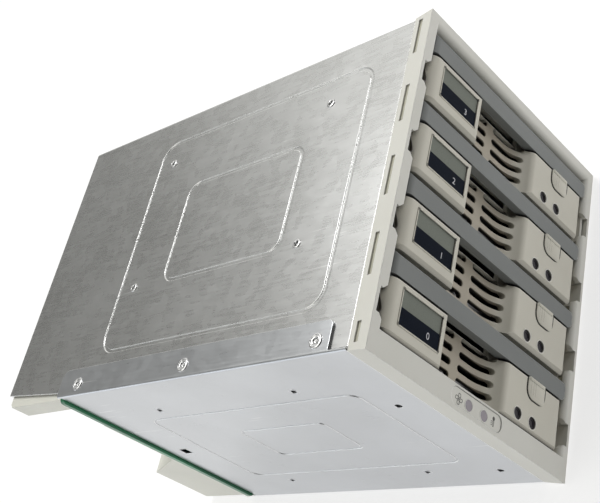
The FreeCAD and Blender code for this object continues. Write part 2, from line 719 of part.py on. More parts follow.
def make_side_plate():
    """Left side, riveted over the shell by its two flanges."""
    piece = Piece("side_plate")
    gauge = s.plate_gauge
    inside = gauge - half_width
    end = s.flange_width - half_width
    top = cage_height + gauge
    profile = piece.draw("XZ_Plane", -s.bezel_depth - 0.2).outline([
        (-half_width, -gauge), (end, -gauge), (end, 0), (inside, 0),
        (inside, cage_height), (end, cage_height), (end, top), (-half_width, top)])
    piece.pad(profile, s.flange_rear - s.bezel_depth - 0.2, flip=True)
    piece.fillet(piece.edges("y", x=-half_width), s.plate_fold)
    piece.fillet(piece.edges("y", x=inside), s.plate_fold - gauge)
    piece.box((-half_width - 1, s.plate_depth, 0),
              (end + 1, s.flange_rear + 1, cage_height), cut=True)
    for low, high in ((-gauge - 1, 0), (cage_height, top + 1)):
        piece.box((inside, 0, low), (end + 1, s.flange_front, high), cut=True)
    for height in (0 - gauge / 2, cage_height + gauge / 2):
        piece.fillet(piece.edges("z", x=end, y=s.flange_front, z=height), s.flange_front_corner)
        piece.fillet(piece.edges("z", x=end, y=s.flange_rear, z=height), s.flange_rear_corner)
    outer = ((s.plate_bead_front, s.plate_bead_low),
             (s.plate_bead_rear, cage_height - s.plate_bead_high), s.plate_bead_corner)
    inner = ((s.plate_inner_front, s.plate_inner_low),
             (s.plate_inner_rear, cage_height - s.plate_inner_high), s.plate_inner_corner)
    for low, high, corner in (outer, inner):
        bead(piece, "YZ_Plane", -half_width, low, high, corner, s.plate_bead_width,
             s.plate_bead_depth, True)
    mounting_holes(piece, -half_width - 1, 4)
    small = piece.draw("YZ_Plane", -half_width - 1)
    small.circle(s.pin_hole_y + 0.5, s.pin_hole_high, s.pin_hole_radius)
    small.circle(s.pin_hole_y - 0.5, s.pin_hole_low, s.pin_hole_radius)
    reach = s.catch_hole / 2
    small.outline([(s.catch_hole_y - reach, s.catch_hole_height - reach),
                   (s.catch_hole_y + reach, s.catch_hole_height - reach),
                   (s.catch_hole_y + reach, s.catch_hole_height + reach),
                   (s.catch_hole_y - reach, s.catch_hole_height + reach)])
    piece.pocket(small, 4, flip=True)
    rivets = piece.draw("XY_Plane", -3)
    for x, y in flange_rivets():
        rivets.circle(x, y, s.rivet_radius)
    piece.pocket(rivets, cage_height + 6, flip=True)


def make_rivets():
    """The rivets of the flanges and of the guides, a group above and one below."""
    top = cage_height
    gauge = s.plate_gauge
    for label, level, outwards in (("top", top + gauge, True), ("bottom", 0 - gauge, False)):
        members = [headed("flange_rivet_%s_%d" % (label, i), (x, y, level), "z", outwards,
                          s.rivet_head_radius, s.rivet_head_height, s.rivet_radius,
                          gauge + s.gauge)
                   for i, (x, y) in enumerate(flange_rivets())]
        group("flange_rivets_" + label, members)
    for label, level, outwards in (("top", top, True), ("bottom", size(0), False)):
        members = [headed("guide_rivet_%s_%d" % (label, i), (x, y, level), "z", outwards,
                          s.small_head_radius, s.rivet_head_height, s.rivet_radius,
                          s.gauge + s.guide_bite)
                   for i, (x, y) in enumerate(guide_screws())]
        group("guide_rivets_" + label, members)


def make_guide(label, wall, face, rib_end):
    """A moulded guide under or over the carriers: a plate with a rib between each two bays."""
    piece = Piece("guide_" + label)
    low, high = (wall, face) if wall.number < face.number else (face, wall)
    margin = s.bezel_wall
    piece.box((bay_start - s.guide_rib / 2 - margin, s.guide_front, low),
              (opening_end + margin, s.board_front, high))
    rib_low, rib_high = (face, rib_end) if face.number < rib_end.number else (rib_end, face)
    for i in range(5):
        middle = bay_start + s.bay_pitch * i
        piece.box((middle - s.guide_rib / 2, s.guide_front, rib_low),
                  (middle + s.guide_rib / 2, s.board_front, rib_high))
    lead = piece.edges("z", y=s.guide_front, z=(rib_low + rib_high) / 2)
    piece.chamfer(lead, s.rib_lead)
    for x in board_screws():
        piece.rod((x, s.board_front - s.boss_length, rib_end), s.boss_radius, s.boss_length, "y")
        piece.rod((x, s.board_front - s.screw_bite, rib_end), s.screw_radius,
                  s.screw_bite + 1, "y", cut=True)
    holes = piece.draw("XY_Plane", wall)
    for x, y in guide_screws():
        holes.circle(x, y, s.rivet_radius)
    piece.pocket(holes, s.guide_bite, flip=wall.number < face.number)


def board_screws():
    """The two ribs that the backplane and the shroud are screwed to."""
    return [bay_start + s.bay_pitch * i for i in (1, 3)]


# ---------------------------------------------------------------- the bezel

def make_bezel():
    """The moulded front frame with its notched rails."""
    piece = Piece("front_bezel")
    flare = s.bezel_flare
    front = piece.draw("XZ_Plane").outline([
        (-half_width - flare, -flare), (half_width + flare, -flare),
        (half_width + flare, cage_height + flare), (-half_width - flare, cage_height + flare)])
    piece.pad(front, s.bezel_depth, flip=True, taper=-math.degrees(math.atan(
        flare.number / s.bezel_depth.number)))
    piece.box((bay_start, -1, rail_low), (opening_end, s.bezel_depth + 1, rail_high), cut=True)
    rolled = piece.edges("z", x=opening_end, y=0) + piece.edges("x", y=0, z=rail_low)
    piece.fillet(rolled, s.bezel_roll)
    wall = s.bezel_wall
    rear = s.bezel_depth + 1
    piece.box((bay_start, s.bezel_skin, wall), (opening_end, rear, rail_low), cut=True)
    piece.box((bay_start, s.bezel_skin, rail_high), (opening_end, rear, cage_height - wall),
              cut=True)
    piece.box((wall - half_width, s.bezel_skin, wall),
              (bay_start - wall, rear, cage_height - wall), cut=True)
    piece.box((opening_end + wall, s.bezel_skin, wall),
              (half_width - wall, rear, cage_height - wall), cut=True)
    first = bay_start + s.notch_start
    last = first + s.notch_width
    chamfer = s.notch_chamfer
    for inner, outer in ((rail_low, wall - flare), (rail_high, cage_height - wall + flare)):
        towards = 1 if inner.number < outer.number else -1
        slope = inner + chamfer * towards
        notch = piece.draw("XZ_Plane", 1).outline([
            (first - chamfer, inner - 0.5 * towards), (last + chamfer, inner - 0.5 * towards),
            (last + chamfer, inner), (last, slope), (last, outer), (first, outer),
            (first, slope), (first - chamfer, inner)])
        cut = piece.pocket(notch, s.bezel_depth + 2)
        piece.repeat([cut], notch, "H_Axis", s.bay_pitch * (bays - 1), bays)
    slits = piece.draw("XY_Plane", -2)
    y0 = s.slit_y
    spans = [(s.corner_slit - half_width, bay_start + 2)]
    spans += [(bay_start + s.slit_start + s.bay_pitch * i,
               bay_start + s.slit_start + s.bay_pitch * i + s.slit_length) for i in range(bays)]
    for start, end in spans:
        slits.outline([(start, y0), (end, y0), (end, y0 + s.slit_width), (start, y0 + s.slit_width)])
    piece.pocket(slits, cage_height + 4, flip=True)
    plate = piece.draw("XZ_Plane").rounded(
        (-half_width + 1, s.light_height - s.light_plate_reach),
        (-half_width + s.light_plate_side, s.light_height + s.light_plate_reach),
        s.light_plate_corner)
    piece.pocket(plate, s.light_plate_depth)
    for side in (-1, 1):
        piece.rod((status_x(), -1, s.light_height + side * s.light_gap / 2), s.light_radius,
                  s.bezel_skin + 2, "y", cut=True)
    for low, high in ((s.gauge + s.fit_gap, s.gauge + s.fit_gap + wall),
                      (inner_high - s.fit_gap - wall, inner_high - s.fit_gap)):
        for x in (s.tongue_inset - half_width, half_width - s.tongue_inset - s.tongue_width):
            piece.box((x, s.bezel_skin - 0.5, low),
                      (x + s.tongue_width, s.bezel_depth + s.tongue_length, high))


def status_x():
    """The line of the two status lights."""
    return s.light_x - half_width


def make_status_lights():
    """Two light pipes in the bezel's strip."""
    members = [rod("status_light_%d" % i,
                   (status_x(), s.light_plate_depth, s.light_height + side * s.light_gap / 2),
                   s.light_radius - s.light_play, s.bezel_depth - 1, "y")
               for i, side in enumerate((1, -1))]
    group("status_lights", members)


# ---------------------------------------------------------------- backplane, shroud and fan

def make_backplane():
    """The circuit board across the rear of the bays, with air slots clear of its connectors.

    The lower row has a slot in each bay.  The upper row has one in each middle bay only,
    because the cable sockets stand behind the outer ones.
    """
    piece = Piece("backplane_board")
    edge = half_width + s.board_overhang
    board = piece.draw("XZ_Plane", -s.board_front)
    board.rounded((-edge, shroud_low), (edge, shroud_high), 2)
    piece.pad(board, s.board_thick, flip=True)
    holes = piece.draw("XZ_Plane", -s.board_front + 1)
    for x in board_screws():
        for z in screw_heights():
            holes.circle(x, z, s.screw_radius + 0.1)
    piece.pocket(holes, s.board_thick + 2)
    half = s.air_slot_width / 2
    upper = connector_top() + s.air_slot_gap
    for low, bay, count in ((s.air_slot_low, 0, bays), (upper, 1, bays - 2)):
        middle = bay_start + s.bay_pitch * (bay + 0.5)
        slots = piece.draw("XZ_Plane", -s.board_front + 1)
        slots.rounded((middle - half, low), (middle + half, low + s.air_slot_height),
                      s.air_slot_corner)
        cut = piece.pocket(slots, s.board_thick + 2)
        piece.repeat([cut], slots, "H_Axis", s.bay_pitch * (count - 1), count)


def screw_heights():
    """The two rows of board screws, on the rib ends of the guides."""
    return (rail_low + s.guide_rib_height, rail_high - s.guide_rib_height)


def connector_top():
    """The upper end of a drive connector."""
    return cage_height / 2 + s.connector_height / 2


def socket(name, low, high, rearwards):
    """A connector: a block on the board with a cavity open to the front or to the rear."""
    wall = s.socket_wall
    shell = block(name + "_shell", low, high)
    start = low[1] + s.socket_wall if rearwards else low[1] - 1
    stop = high[1] + 1 if rearwards else high[1] - s.socket_wall
    cavity = block(name + "_cavity", (low[0] + wall, start, low[2] + wall),
                   (high[0] - wall, stop, high[2] - wall))
    hollow = doc.addObject("Part::Cut", name)
    hollow.Base = shell
    hollow.Tool = cavity
    return hollow


def make_connectors():
    """Drive connectors towards the carriers, cable connectors towards the rear."""
    across, tall = s.connector_width / 2, s.connector_height / 2
    middle = cage_height / 2
    members = []
    for i in range(bays):
        x = bay_start + s.bay_pitch * i + s.connector_x
        members.append(socket("drive_connector_%d" % i,
                              (x - across, s.board_front - s.connector_depth, middle - tall),
                              (x + across, s.board_front, middle + tall), False))
    group("drive_connectors", members)
    cable_sockets("signal", 4, -s.signal_x, s.signal_width, s.signal_height, s.signal_depth,
                  s.signal_pitch)
    cable_sockets("power", 2, s.power_x, s.power_width, s.power_height, s.power_depth,
                  s.power_pitch)


def cable_sockets(kind, count, middle, width, height, depth, pitch):
    """A column of cable connectors, centred on the windows of the shroud's strip."""
    members = []
    for i in range(count):
        low = s.window_middle + pitch * (i - (count - 1) / 2) - height / 2
        members.append(socket("%s_connector_%d" % (kind, i),
                              (middle - width / 2, board_rear, low),
                              (middle + width / 2, board_rear + depth, low + height), True))
    group(kind + "_connectors", members)


def make_shroud():
    """The moulded rear housing: a box round the fan with arms along both panels."""
    piece = Piece("rear_shroud")
    wall = s.shroud_wall
    side = half_width - s.fit_gap
    arm_low = cage_height - s.upper_arm_height
    arm_rear = s.panel_depth - s.arm_inset
    block_low, block_high = shroud_low, shroud_high
    piece.box((-s.shroud_half, board_rear, block_low), (s.shroud_half, s.shroud_rear, block_high))
    arm = piece.draw("YZ_Plane", -side).outline([
        (board_rear, block_low), (s.shroud_rear, block_low),
        (s.shroud_rear, s.arm_rear_height), (board_rear, s.arm_front_height)])
    piece.pad(arm, side * 2)
    piece.box((-side, board_rear, arm_low), (side, arm_rear, block_high))
    edge = half_width + s.board_overhang - s.fit_gap
    window_low = s.window_middle - s.window_height / 2
    window_high = window_low + s.window_height
    piece.box((-edge, board_rear, block_low),
              (edge, board_rear + s.strip_thick, window_high + s.strip_rim))
    inner = piece.draw("YZ_Plane", -side + wall).outline([
        (board_rear - 1, block_low + wall), (s.shroud_rear - wall, block_low + wall),
        (s.shroud_rear - wall, s.arm_rear_height - wall),
        (board_rear - 1, s.arm_front_height - wall)])
    piece.pocket(inner, side * 2 - wall * 2, flip=True)
    piece.box((-s.shroud_half + wall, board_rear - 1, block_low + wall),
              (s.shroud_half - wall, s.shroud_rear - wall, block_high - wall), cut=True)
    piece.box((-side + wall, board_rear - 1, arm_low + wall),
              (side - wall, arm_rear - wall, block_high - wall), cut=True)
    for middle in (-s.signal_x, s.power_x):
        piece.box((middle - s.window_width / 2, board_rear - 1, window_low),
                  (middle + s.window_width / 2, board_rear + s.strip_thick + 1, window_high),
                  cut=True)
    piece.rod((0, s.shroud_rear - wall - 1, fan_height), fan_bore, wall + 2, "y", cut=True)
    for turn in range(2):
        across, along = fan_bore + 1, s.grille_bar / 2
        if turn:
            across, along = along, across
        piece.box((-across, s.shroud_rear - wall, fan_height - along),
                  (across, s.shroud_rear, fan_height + along))
    for i in range(4):
        ring = piece.draw("XZ_Plane", -s.shroud_rear + wall)
        radius = s.grille_radius + s.grille_step * i
        ring.circle(0, fan_height, radius + s.grille_ring / 2)
        ring.circle(0, fan_height, radius - s.grille_ring / 2)
        piece.pad(ring, wall, flip=True)
    holes = piece.draw("XZ_Plane", -s.shroud_rear - 1)
    for x in (-1, 1):
        for z in (-1, 1):
            holes.circle(x * fan_hole_span / 2, fan_height + z * fan_hole_span / 2,
                         s.fan_screw_radius + s.shaft_play)
    piece.pocket(holes, wall + 2, flip=True)
    reach = s.screw_head_radius + s.screw_pad_rim
    pad_rear = board_rear + s.screw_pad_height
    for x in board_screws():
        low, high = screw_heights()
        piece.box((x - reach, board_rear, block_low), (x + reach, pad_rear, low + reach))
        piece.box((x - reach, board_rear, high - reach), (x + reach, pad_rear, block_high))
    holes = piece.draw("XZ_Plane", -board_rear + 1)
    for x in board_screws():
        for z in screw_heights():
            holes.circle(x, z, s.screw_radius + 0.1)
    piece.pocket(holes, s.screw_pad_height + 2)
    corners = piece.edges("z", x=-side, y=arm_rear) + piece.edges("z", x=side, y=arm_rear)
    piece.chamfer(corners, s.arm_chamfer)


def make_board_screws():
    """Four screws through shroud and board into the guides' bosses."""
    pad_rear = board_rear + s.screw_pad_height
    members = [headed("board_screw_%d%d" % (i, j), (x, pad_rear, z), "y", True,
                      s.screw_head_radius, s.screw_head_height, s.screw_radius,
                      s.board_thick + s.screw_pad_height + s.board_screw_grip)
               for i, x in enumerate(board_screws()) for j, z in enumerate(screw_heights())]
    group("board_screws", members)


def make_fan():
    """Frame, rotor and screws of the rear fan."""
    half = s.fan_size / 2
    base = (0, -middle_y, lift + fan_height)
    frame = Piece("fan_frame", base)
    frame.box((-half, fan_front, -half), (half, fan_rear, half))
    frame.fillet(frame.edges("y"), s.fan_corner)
    frame.rod((0, fan_front - 1, 0), fan_bore, s.fan_depth + 2, "y", cut=True)
    plate = s.fan_plate
    frame.rod((0, fan_rear - plate, 0), s.hub_radius, plate, "y")
    for turn in (45, 135, 225, 315):
        arm = frame.draw("XZ_Plane", -fan_rear)
        c, k = math.cos(math.radians(turn)), math.sin(math.radians(turn))
        near, far, w = s.hub_radius - 2, fan_bore + 1, s.fan_arm / 2
        arm.outline([(near * c - w * k, near * k + w * c),
                     (near * c + w * k, near * k - w * c),
                     (far * c + w * k, far * k - w * c),
                     (far * c - w * k, far * k + w * c)])
        frame.pad(arm, plate)
    bearing = fan_rear - plate - s.bearing_length
    frame.rod((0, bearing, 0), s.bearing_radius, s.bearing_length + 1, "y")
    frame.rod((0, bearing - 1, 0), s.shaft_radius + s.shaft_play, s.bearing_length + plate, "y",
              cut=True)
    holes = frame.draw("XZ_Plane", -fan_front + 1)
    for x in (-1, 1):
        for z in (-1, 1):
            holes.circle(x * fan_hole_span / 2, z * fan_hole_span / 2,
                         s.fan_screw_radius + s.shaft_play * 2)
    frame.pocket(holes, s.fan_depth + 2)
    rotor = Piece("fan_rotor", base)
    hub_rear = fan_rear - plate - s.hub_gap
    rotor.rod((0, fan_front + 1, 0), s.hub_radius, hub_rear - fan_front - 1, "y")
    rotor.rod((0, fan_front + 1 + s.hub_cap, 0), s.hub_radius - s.hub_wall, s.fan_depth, "y",
              cut=True)
    rotor.rod((0, fan_front + 2, 0), s.shaft_radius, s.fan_depth - 4, "y")
    make_blades(rotor, hub_rear)
    members = [headed("fan_screw_%d%d" % (i, j),
                      (x * fan_hole_span / 2, s.shroud_rear, fan_height + z * fan_hole_span / 2),
                      "y", True, s.fan_head_radius, s.screw_head_height, s.fan_screw_radius,
                      s.fan_screw_length)
               for i, x in enumerate((-1, 1)) for j, z in enumerate((-1, 1))]
    group("fan_screws", members)


def make_blades(rotor, hub_rear):
    """Seven twisted blades, each lofted from the hub to the tip."""
    middle = (fan_front + 1 + hub_rear) / 2
    sections = []
    for radius, lean, chord in ((s.hub_radius - 1, 50, s.root_chord), (blade_tip, 30, s.tip_chord)):
        section = rotor.draw("YZ_Plane", radius)
        c, k = math.cos(math.radians(lean)), math.sin(math.radians(lean))
        along, thick = chord / 2, s.blade_thick / 2
        corners = ((-1, -1), (1, -1), (1, 1), (-1, 1))
        section.outline([(middle + a * along * k - b * thick * c,
                          a * along * c + b * thick * k) for a, b in corners])
        sections.append(section)
    blade = rotor.body.newObject("PartDesign::AdditiveLoft", rotor.name("Blade"))
    blade.Profile = sections[0].sketch
    blade.Sections = [sections[1].sketch]
    doc.recompute()
    axis = rotor.draw("XZ_Plane", 0)
    axis.circle(0, 0, 1)
    ring = rotor.body.newObject("PartDesign::PolarPattern", rotor.name("Ring"))
    ring.Originals = [blade]
    ring.Axis = (axis.sketch, ["N_Axis"])
    ring.Angle = 360
    ring.Occurrences = 7
    rotor.body.Tip = ring


# ---------------------------------------------------------------- one carrier

# Where the first carrier's own frame lies: at the top of the cage, on the start of its bay.
bay_base = (bay_start, -middle_y, lift + cage_height)
knuckle = s.knuckle_radius
face_top = s.rail_width + s.fit_gap
face_bottom = cage_height - rail_low - s.fit_gap
face_high = s.bay_pitch - s.face_gap
hinge_x = face_top + knuckle
block_high = face_high - s.lever_channel
block_end = face_bottom - s.block_foot
scoop_start = block_end - s.scoop_rise
lamp_start = block_end - s.lamp_rise
latch_start = block_end - s.latch_rise
latch_low = block_high - s.latch_reach
label_height = block_high - s.label_low - s.label_rim
lever_low = block_high + s.lever_gap
lever_end = face_bottom - s.lever_short
floor_low = s.guide_rib / 2 + s.fit_gap
drive_end = s.board_front - s.connector_depth - s.fit_gap
wall_low = face_top + s.upper_shelf
wall_high = face_bottom - s.lower_shelf


def scoop_edge(radius, depth):
    """How far down the face a scoop of the given radius meets a depth behind the front."""
    drop = s.scoop_radius - s.recess_depth + depth
    reach = math.sqrt(size(radius).number ** 2 - drop.number ** 2)
    return scoop_start + reach


def make_face():
    """The moulded front: label block, recessed grille, scoop and light block."""
    piece = Piece("carrier_face_0", bay_base, turned=True)
    recess, start = s.recess_depth, scoop_start
    centre = recess - s.scoop_radius
    roll = s.block_roll
    front = piece.draw("XY_Plane", s.face_low).outline([
        (face_top, s.face_depth), (face_top, roll),
        Arc(face_top + roll, 0, face_top + roll, roll, True, "v"),
        (s.label_block_end, 0), (s.label_block_end, recess), (start, recess),
        Arc(scoop_edge(s.scoop_radius, 0), 0, start, centre, False, "u"),
        (block_end, 0), (block_end, s.face_depth)])
    piece.pad(front, block_high - s.face_low)
    bevelled = piece.edges("x", y=0, z=s.face_low)
    piece.chamfer(bevelled, s.bottom_bevel)
    piece.chamfer(piece.edges("z", x=s.label_block_end, y=0), s.label_bevel)
    piece.box((face_top, recess, block_high), (face_bottom, s.face_depth, face_high))
    piece.box((block_end, s.face_depth - s.foot_thick, s.face_low),
              (face_bottom, s.face_depth, block_high))
    piece.fillet(piece.edges("z", x=scoop_edge(s.scoop_radius, 0), y=0), s.scoop_brow)
    piece.fillet(piece.edges("z", x=block_end, y=0), s.block_edge)
    grille(piece)
    hollow_face(piece)
    fit_holes(piece)


def grille(piece):
    """Four long and four short slots through the recess."""
    first = s.label_block_end + s.slot_start_gap
    last = scoop_start + s.slot_run_out
    web = first + (last - first - s.slot_web) * s.short_slot_share
    lowest = s.slot_middle - s.slot_pitch * 1.5
    for start, end in ((first, web), (web + s.slot_web, last)):
        row = piece.draw("XZ_Plane", 1).slot(start, end, lowest, s.slot_height)
        cut = piece.pocket(row, s.face_depth + 2)
        piece.repeat([cut], row, "V_Axis", s.slot_pitch * 3, 4)


def hollow_face(piece):
    """Opens the moulding from behind, with walls of one thickness."""
    skin = s.face_front_skin
    rear = s.face_depth + 1
    inner = s.scoop_radius + skin
    centre = s.recess_depth - s.scoop_radius
    lower = piece.draw("XY_Plane", s.face_low + skin).outline([
        (face_top + s.roll_wall, rear), (face_top + s.roll_wall, s.label_wall),
        (s.label_block_end - skin, s.label_wall),
        (s.label_block_end - skin, s.recess_depth + skin), (scoop_start, s.recess_depth + skin),
        Arc(scoop_edge(inner, skin), skin, scoop_start, centre, False, "u"),
        (block_end - skin, skin), (block_end - skin, rear)])
    piece.pocket(lower, block_high - s.face_low - skin * 2, flip=True)
    piece.box((face_top + s.roll_wall, s.recess_depth + skin, block_high),
              (face_bottom - skin, rear, face_high - skin), cut=True)
    piece.box((s.label_block_end + s.lever_window_start, s.recess_depth - s.scoop_radius,
               block_high + s.lever_window_low),
              (scoop_start + s.lever_window_end, rear, face_high - skin), cut=True)
    piece.box((s.label_block_end, s.recess_depth + skin, block_high - skin - 1),
              (scoop_start + 6, rear, block_high + 1), cut=True)


def fit_holes(piece):
    """Seats for the label, the lights, the latch and the hinge pin."""
    piece.box((s.label_start, -1, s.label_low),
              (s.label_start + s.label_length, s.label_thick, s.label_low + label_height), cut=True)
    for i in range(2):
        piece.rod((lamp_start + s.lamp_gap * i, -1, s.lamp_low), s.lamp_radius,
                  s.face_front_skin + 2, "y", cut=True)
    side = s.latch_brim - s.fit_gap
    piece.box((latch_start + side, -1, latch_low + side - s.latch_travel),
              (latch_start + s.latch_length - side, s.face_front_skin + 1,
               block_high - s.face_front_skin), cut=True)
    piece.rod((hinge_x, knuckle, block_high - s.pin_bite), s.pin_radius, s.pin_bite + 1, "z",
              cut=True)


def make_pin():
    """The hinge pin, pressed into the label block."""
    start = (hinge_x, knuckle, block_high - s.pin_bite)
    pin = rod("lever_pin", start, s.pin_radius, s.pin_bite + s.pin_reach, "z")
    group("lever_pin_0", [pin], bay_base, turned=True)


def make_lever():
    """The grey handle across the bay: a rib-backed bar with a knuckle at its hinge."""
    piece = Piece("lever_0", bay_base, turned=True)
    thick = s.lever_thick
    bar = piece.draw("XY_Plane", lever_low).outline([
        (lever_end, 0), (lever_end, thick), (hinge_x + s.lever_slope, thick),
        (hinge_x, knuckle * 2), Arc(hinge_x, 0, hinge_x, knuckle, True, "v")])
    piece.pad(bar, s.lever_height)
    piece.fillet(piece.edges("y", x=lever_end), s.lever_corner)
    side, width = lever_low + s.lever_height, s.lever_bevel
    wedge = piece.draw("YZ_Plane", face_top - 1).outline([
        (-1, side - width - 1), (width + 1, side + 1), (-1, side + 1)])
    piece.pocket(wedge, lever_end - face_top + 2, flip=True)
    pocket = piece.draw("XY_Plane", lever_low + s.lever_wall)
    first = hinge_x + s.lever_pocket_start
    pitch = (lever_end - s.lever_tip - first) / 4
    last = first + pitch - s.lever_rib
    pocket.outline([(first, s.lever_skin), (last, s.lever_skin),
                    (last, thick + 1), (first, thick + 1)])
    cut = piece.pocket(pocket, s.lever_height - s.lever_wall * 2, flip=True)
    piece.repeat([cut], pocket, "H_Axis", pitch * 3, 4)
    piece.rod((hinge_x, knuckle, lever_low - 1), s.pin_radius + s.pin_play,
              s.lever_height, "z", cut=True)


def make_latch():
    """The release latch: a thumb pad that laps over the face, and a slider behind it."""
    piece = Piece("latch_0", bay_base, turned=True)
    skin, gap = s.face_front_skin, s.fit_gap
    end = latch_start + s.latch_length
    top = lever_low - gap
    low, start = latch_low, latch_start
    wide, mild, slight = s.latch_crown, s.latch_corner, s.latch_edge
    pad = piece.draw("XZ_Plane", s.latch_proud).outline([
        (end - mild, low), Arc(end, low + mild, end - mild, low + mild, True, "u"),
        (end, top - slight), Arc(end - slight, top, end - slight, top - slight, True, "v"),
        (start + slight, top), Arc(start, top - slight, start + slight, top - slight, True, "u"),
        (start, low + wide), Arc(start + wide, low, start + wide, low + wide, True, "v")])
    piece.pad(pad, s.latch_proud - s.latch_lift, flip=True)
    piece.box((start + s.latch_brim, -s.latch_proud / 2, low + s.latch_brim),
              (end - s.latch_brim, skin + gap + s.slider_thick, block_high - skin - gap))
    piece.box((start - s.slider_lap, skin + gap, low - s.slider_tail),
              (end + s.slider_lap, skin + gap + s.slider_thick, block_high - skin - gap))


def make_small_parts():
    """The label insert and the light pipes."""
    label = Piece("port_label_0", bay_base, turned=True)
    play = 0.1
    label.box((s.label_start + play, s.label_thick / 2, s.label_low + play),
              (s.label_start + s.label_length - play, s.label_thick,
               s.label_low + label_height - play))
    label.box((s.label_start + play, s.label_thick / 4, s.label_low + play),
              (s.label_start + s.label_length - play, s.label_thick / 2 + 0.1,
               s.label_low + label_height / 2))
    lights = [rod("carrier_light_%d" % i, (lamp_start + s.lamp_gap * i, s.light_sink, s.lamp_low),
                  s.lamp_radius - s.light_play, s.face_front_skin + s.light_sink, "y")
              for i in range(2)]
    group("carrier_lights_0", lights, bay_base, turned=True)


def make_tray():
    """The tray that a drive is screwed into."""
    piece = Piece("carrier_tray_0", bay_base, turned=True)
    gauge = s.tray_gauge
    front = s.face_depth
    top = floor_low + gauge
    piece.box((face_top, front, floor_low), (face_bottom, s.tray_rear, top))
    for low, high in ((wall_low - gauge, wall_low), (wall_high, wall_high + gauge)):
        piece.box((low, front, top - 0.5), (high, s.tray_rear, top + s.wall_height))
    for low, high in ((face_top, wall_low), (wall_high, face_bottom)):
        piece.box((low, front + s.shelf_setback, s.shelf_level),
                  (high, s.tray_rear, s.shelf_level + gauge))
    piece.box((wall_low, front, top - 0.5), (wall_high, front + gauge, top + s.front_lip))
    middle = (wall_low + wall_high) / 2
    vent = piece.draw("XY_Plane", floor_low - 1)
    reach = drive_space / 2 - s.vent_margin
    vent.rounded((middle - reach, front + s.vent_start),
                 (middle + reach, front + s.vent_start + s.vent_width), s.vent_corner)
    cut = piece.pocket(vent, gauge + 2, flip=True)
    piece.repeat([cut], vent, "V_Axis", s.vent_span, 5)
    holes = piece.draw("YZ_Plane", wall_low - gauge - 1)
    for y in (drive_end - s.drive_hole_rear, drive_end - s.drive_hole_rear - s.drive_hole_span):
        holes.circle(y, top + s.drive_hole_height, s.drive_hole_radius)
    piece.pocket(holes, s.drive_width + 6, flip=True)


def make_carriers():
    """Everything that slides out of the first bay, and the same again in each later bay."""
    before = len(parts)
    make_face()
    make_tray()
    make_small_parts()
    make_pin()
    make_lever()
    make_latch()
    first = parts[before:]
    for index in range(1, bays):
        for node in first:
            label = node.Label.replace("_0", "_%d" % index)
            group(label, [node], (s.bay_pitch * index, 0, 0))


def build_cage():
    """Every sub-part, from the sheet metal to the last carrier."""
    make_cage_shell()
    make_side_plate()
    make_rivets()
    make_guide("top", inner_high, rail_high, rail_high - s.guide_rib_height)
    make_guide("bottom", inner_low, rail_low, rail_low + s.guide_rib_height)
    make_bezel()
    make_status_lights()
    make_backplane()
    make_connectors()
    make_shroud()
    make_board_screws()
    make_fan()
    make_carriers()


def check_and_write():
    """Stops on any failed object, then writes each sub-part to its own file."""
    doc.recompute()
    for item in doc.Objects:
        if {"Invalid", "Error"} & set(item.State):
            raise RuntimeError("%s failed: %s" % (item.Label, item.getStatusString()))
    os.makedirs("parts", exist_ok=True)
    for item in parts:
        if item.Shape.isNull() or not item.Shape.isValid():
            raise RuntimeError("%s has no valid shape" % item.Label)
        item.Shape.exportStep("parts/%s.step" % item.Label)
        print(item.Label, len(item.Shape.Solids), round(item.Shape.Volume))


build_cage()
check_and_write()
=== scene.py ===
"""Looks for a four-bay hot swap drive cage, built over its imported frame.

Lengths are metres, apart from those of the pieces' own shapes, which are
millimetres. The cage stands on the heads of its lower rivets. X runs across the
bays, Y from the front bezel to the rear shroud, and Z upwards.
"""

from __future__ import annotations

import json
import logging
import math
from collections.abc import Sequence
from dataclasses import dataclass, field
from enum import Enum
from typing import Union

import bpy
from mathutils import Matrix, Vector

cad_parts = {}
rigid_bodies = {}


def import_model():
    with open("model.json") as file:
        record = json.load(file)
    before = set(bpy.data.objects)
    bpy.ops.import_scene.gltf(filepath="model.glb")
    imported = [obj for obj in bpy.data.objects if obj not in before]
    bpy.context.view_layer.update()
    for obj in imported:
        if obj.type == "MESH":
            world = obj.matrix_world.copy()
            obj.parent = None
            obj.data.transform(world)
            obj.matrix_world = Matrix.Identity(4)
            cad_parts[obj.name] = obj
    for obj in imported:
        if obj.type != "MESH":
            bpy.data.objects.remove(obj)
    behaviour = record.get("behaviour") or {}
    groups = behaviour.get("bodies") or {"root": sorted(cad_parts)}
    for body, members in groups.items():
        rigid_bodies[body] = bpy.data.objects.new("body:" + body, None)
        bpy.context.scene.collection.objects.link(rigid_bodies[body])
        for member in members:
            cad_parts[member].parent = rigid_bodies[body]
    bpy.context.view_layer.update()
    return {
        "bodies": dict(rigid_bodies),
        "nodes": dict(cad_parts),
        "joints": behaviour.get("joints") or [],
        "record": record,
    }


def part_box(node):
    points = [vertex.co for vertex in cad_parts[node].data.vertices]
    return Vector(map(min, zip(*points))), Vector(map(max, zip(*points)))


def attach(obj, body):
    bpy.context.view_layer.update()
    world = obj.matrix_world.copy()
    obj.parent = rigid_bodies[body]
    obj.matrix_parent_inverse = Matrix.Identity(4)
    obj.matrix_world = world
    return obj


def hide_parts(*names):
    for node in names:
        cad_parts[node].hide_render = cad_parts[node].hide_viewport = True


LOG = logging.getLogger("drive_cage")
MM = 0.001
BAYS = 4
THIN = 0.05  # the thickness of ink and other flat marks, in millimetres

Colour = tuple[float, float, float]
Corner = tuple[float, float, float]
Number = Union[float, "Signal"]
Outline = Sequence[tuple[float, float]]
Piece = bpy.types.Object


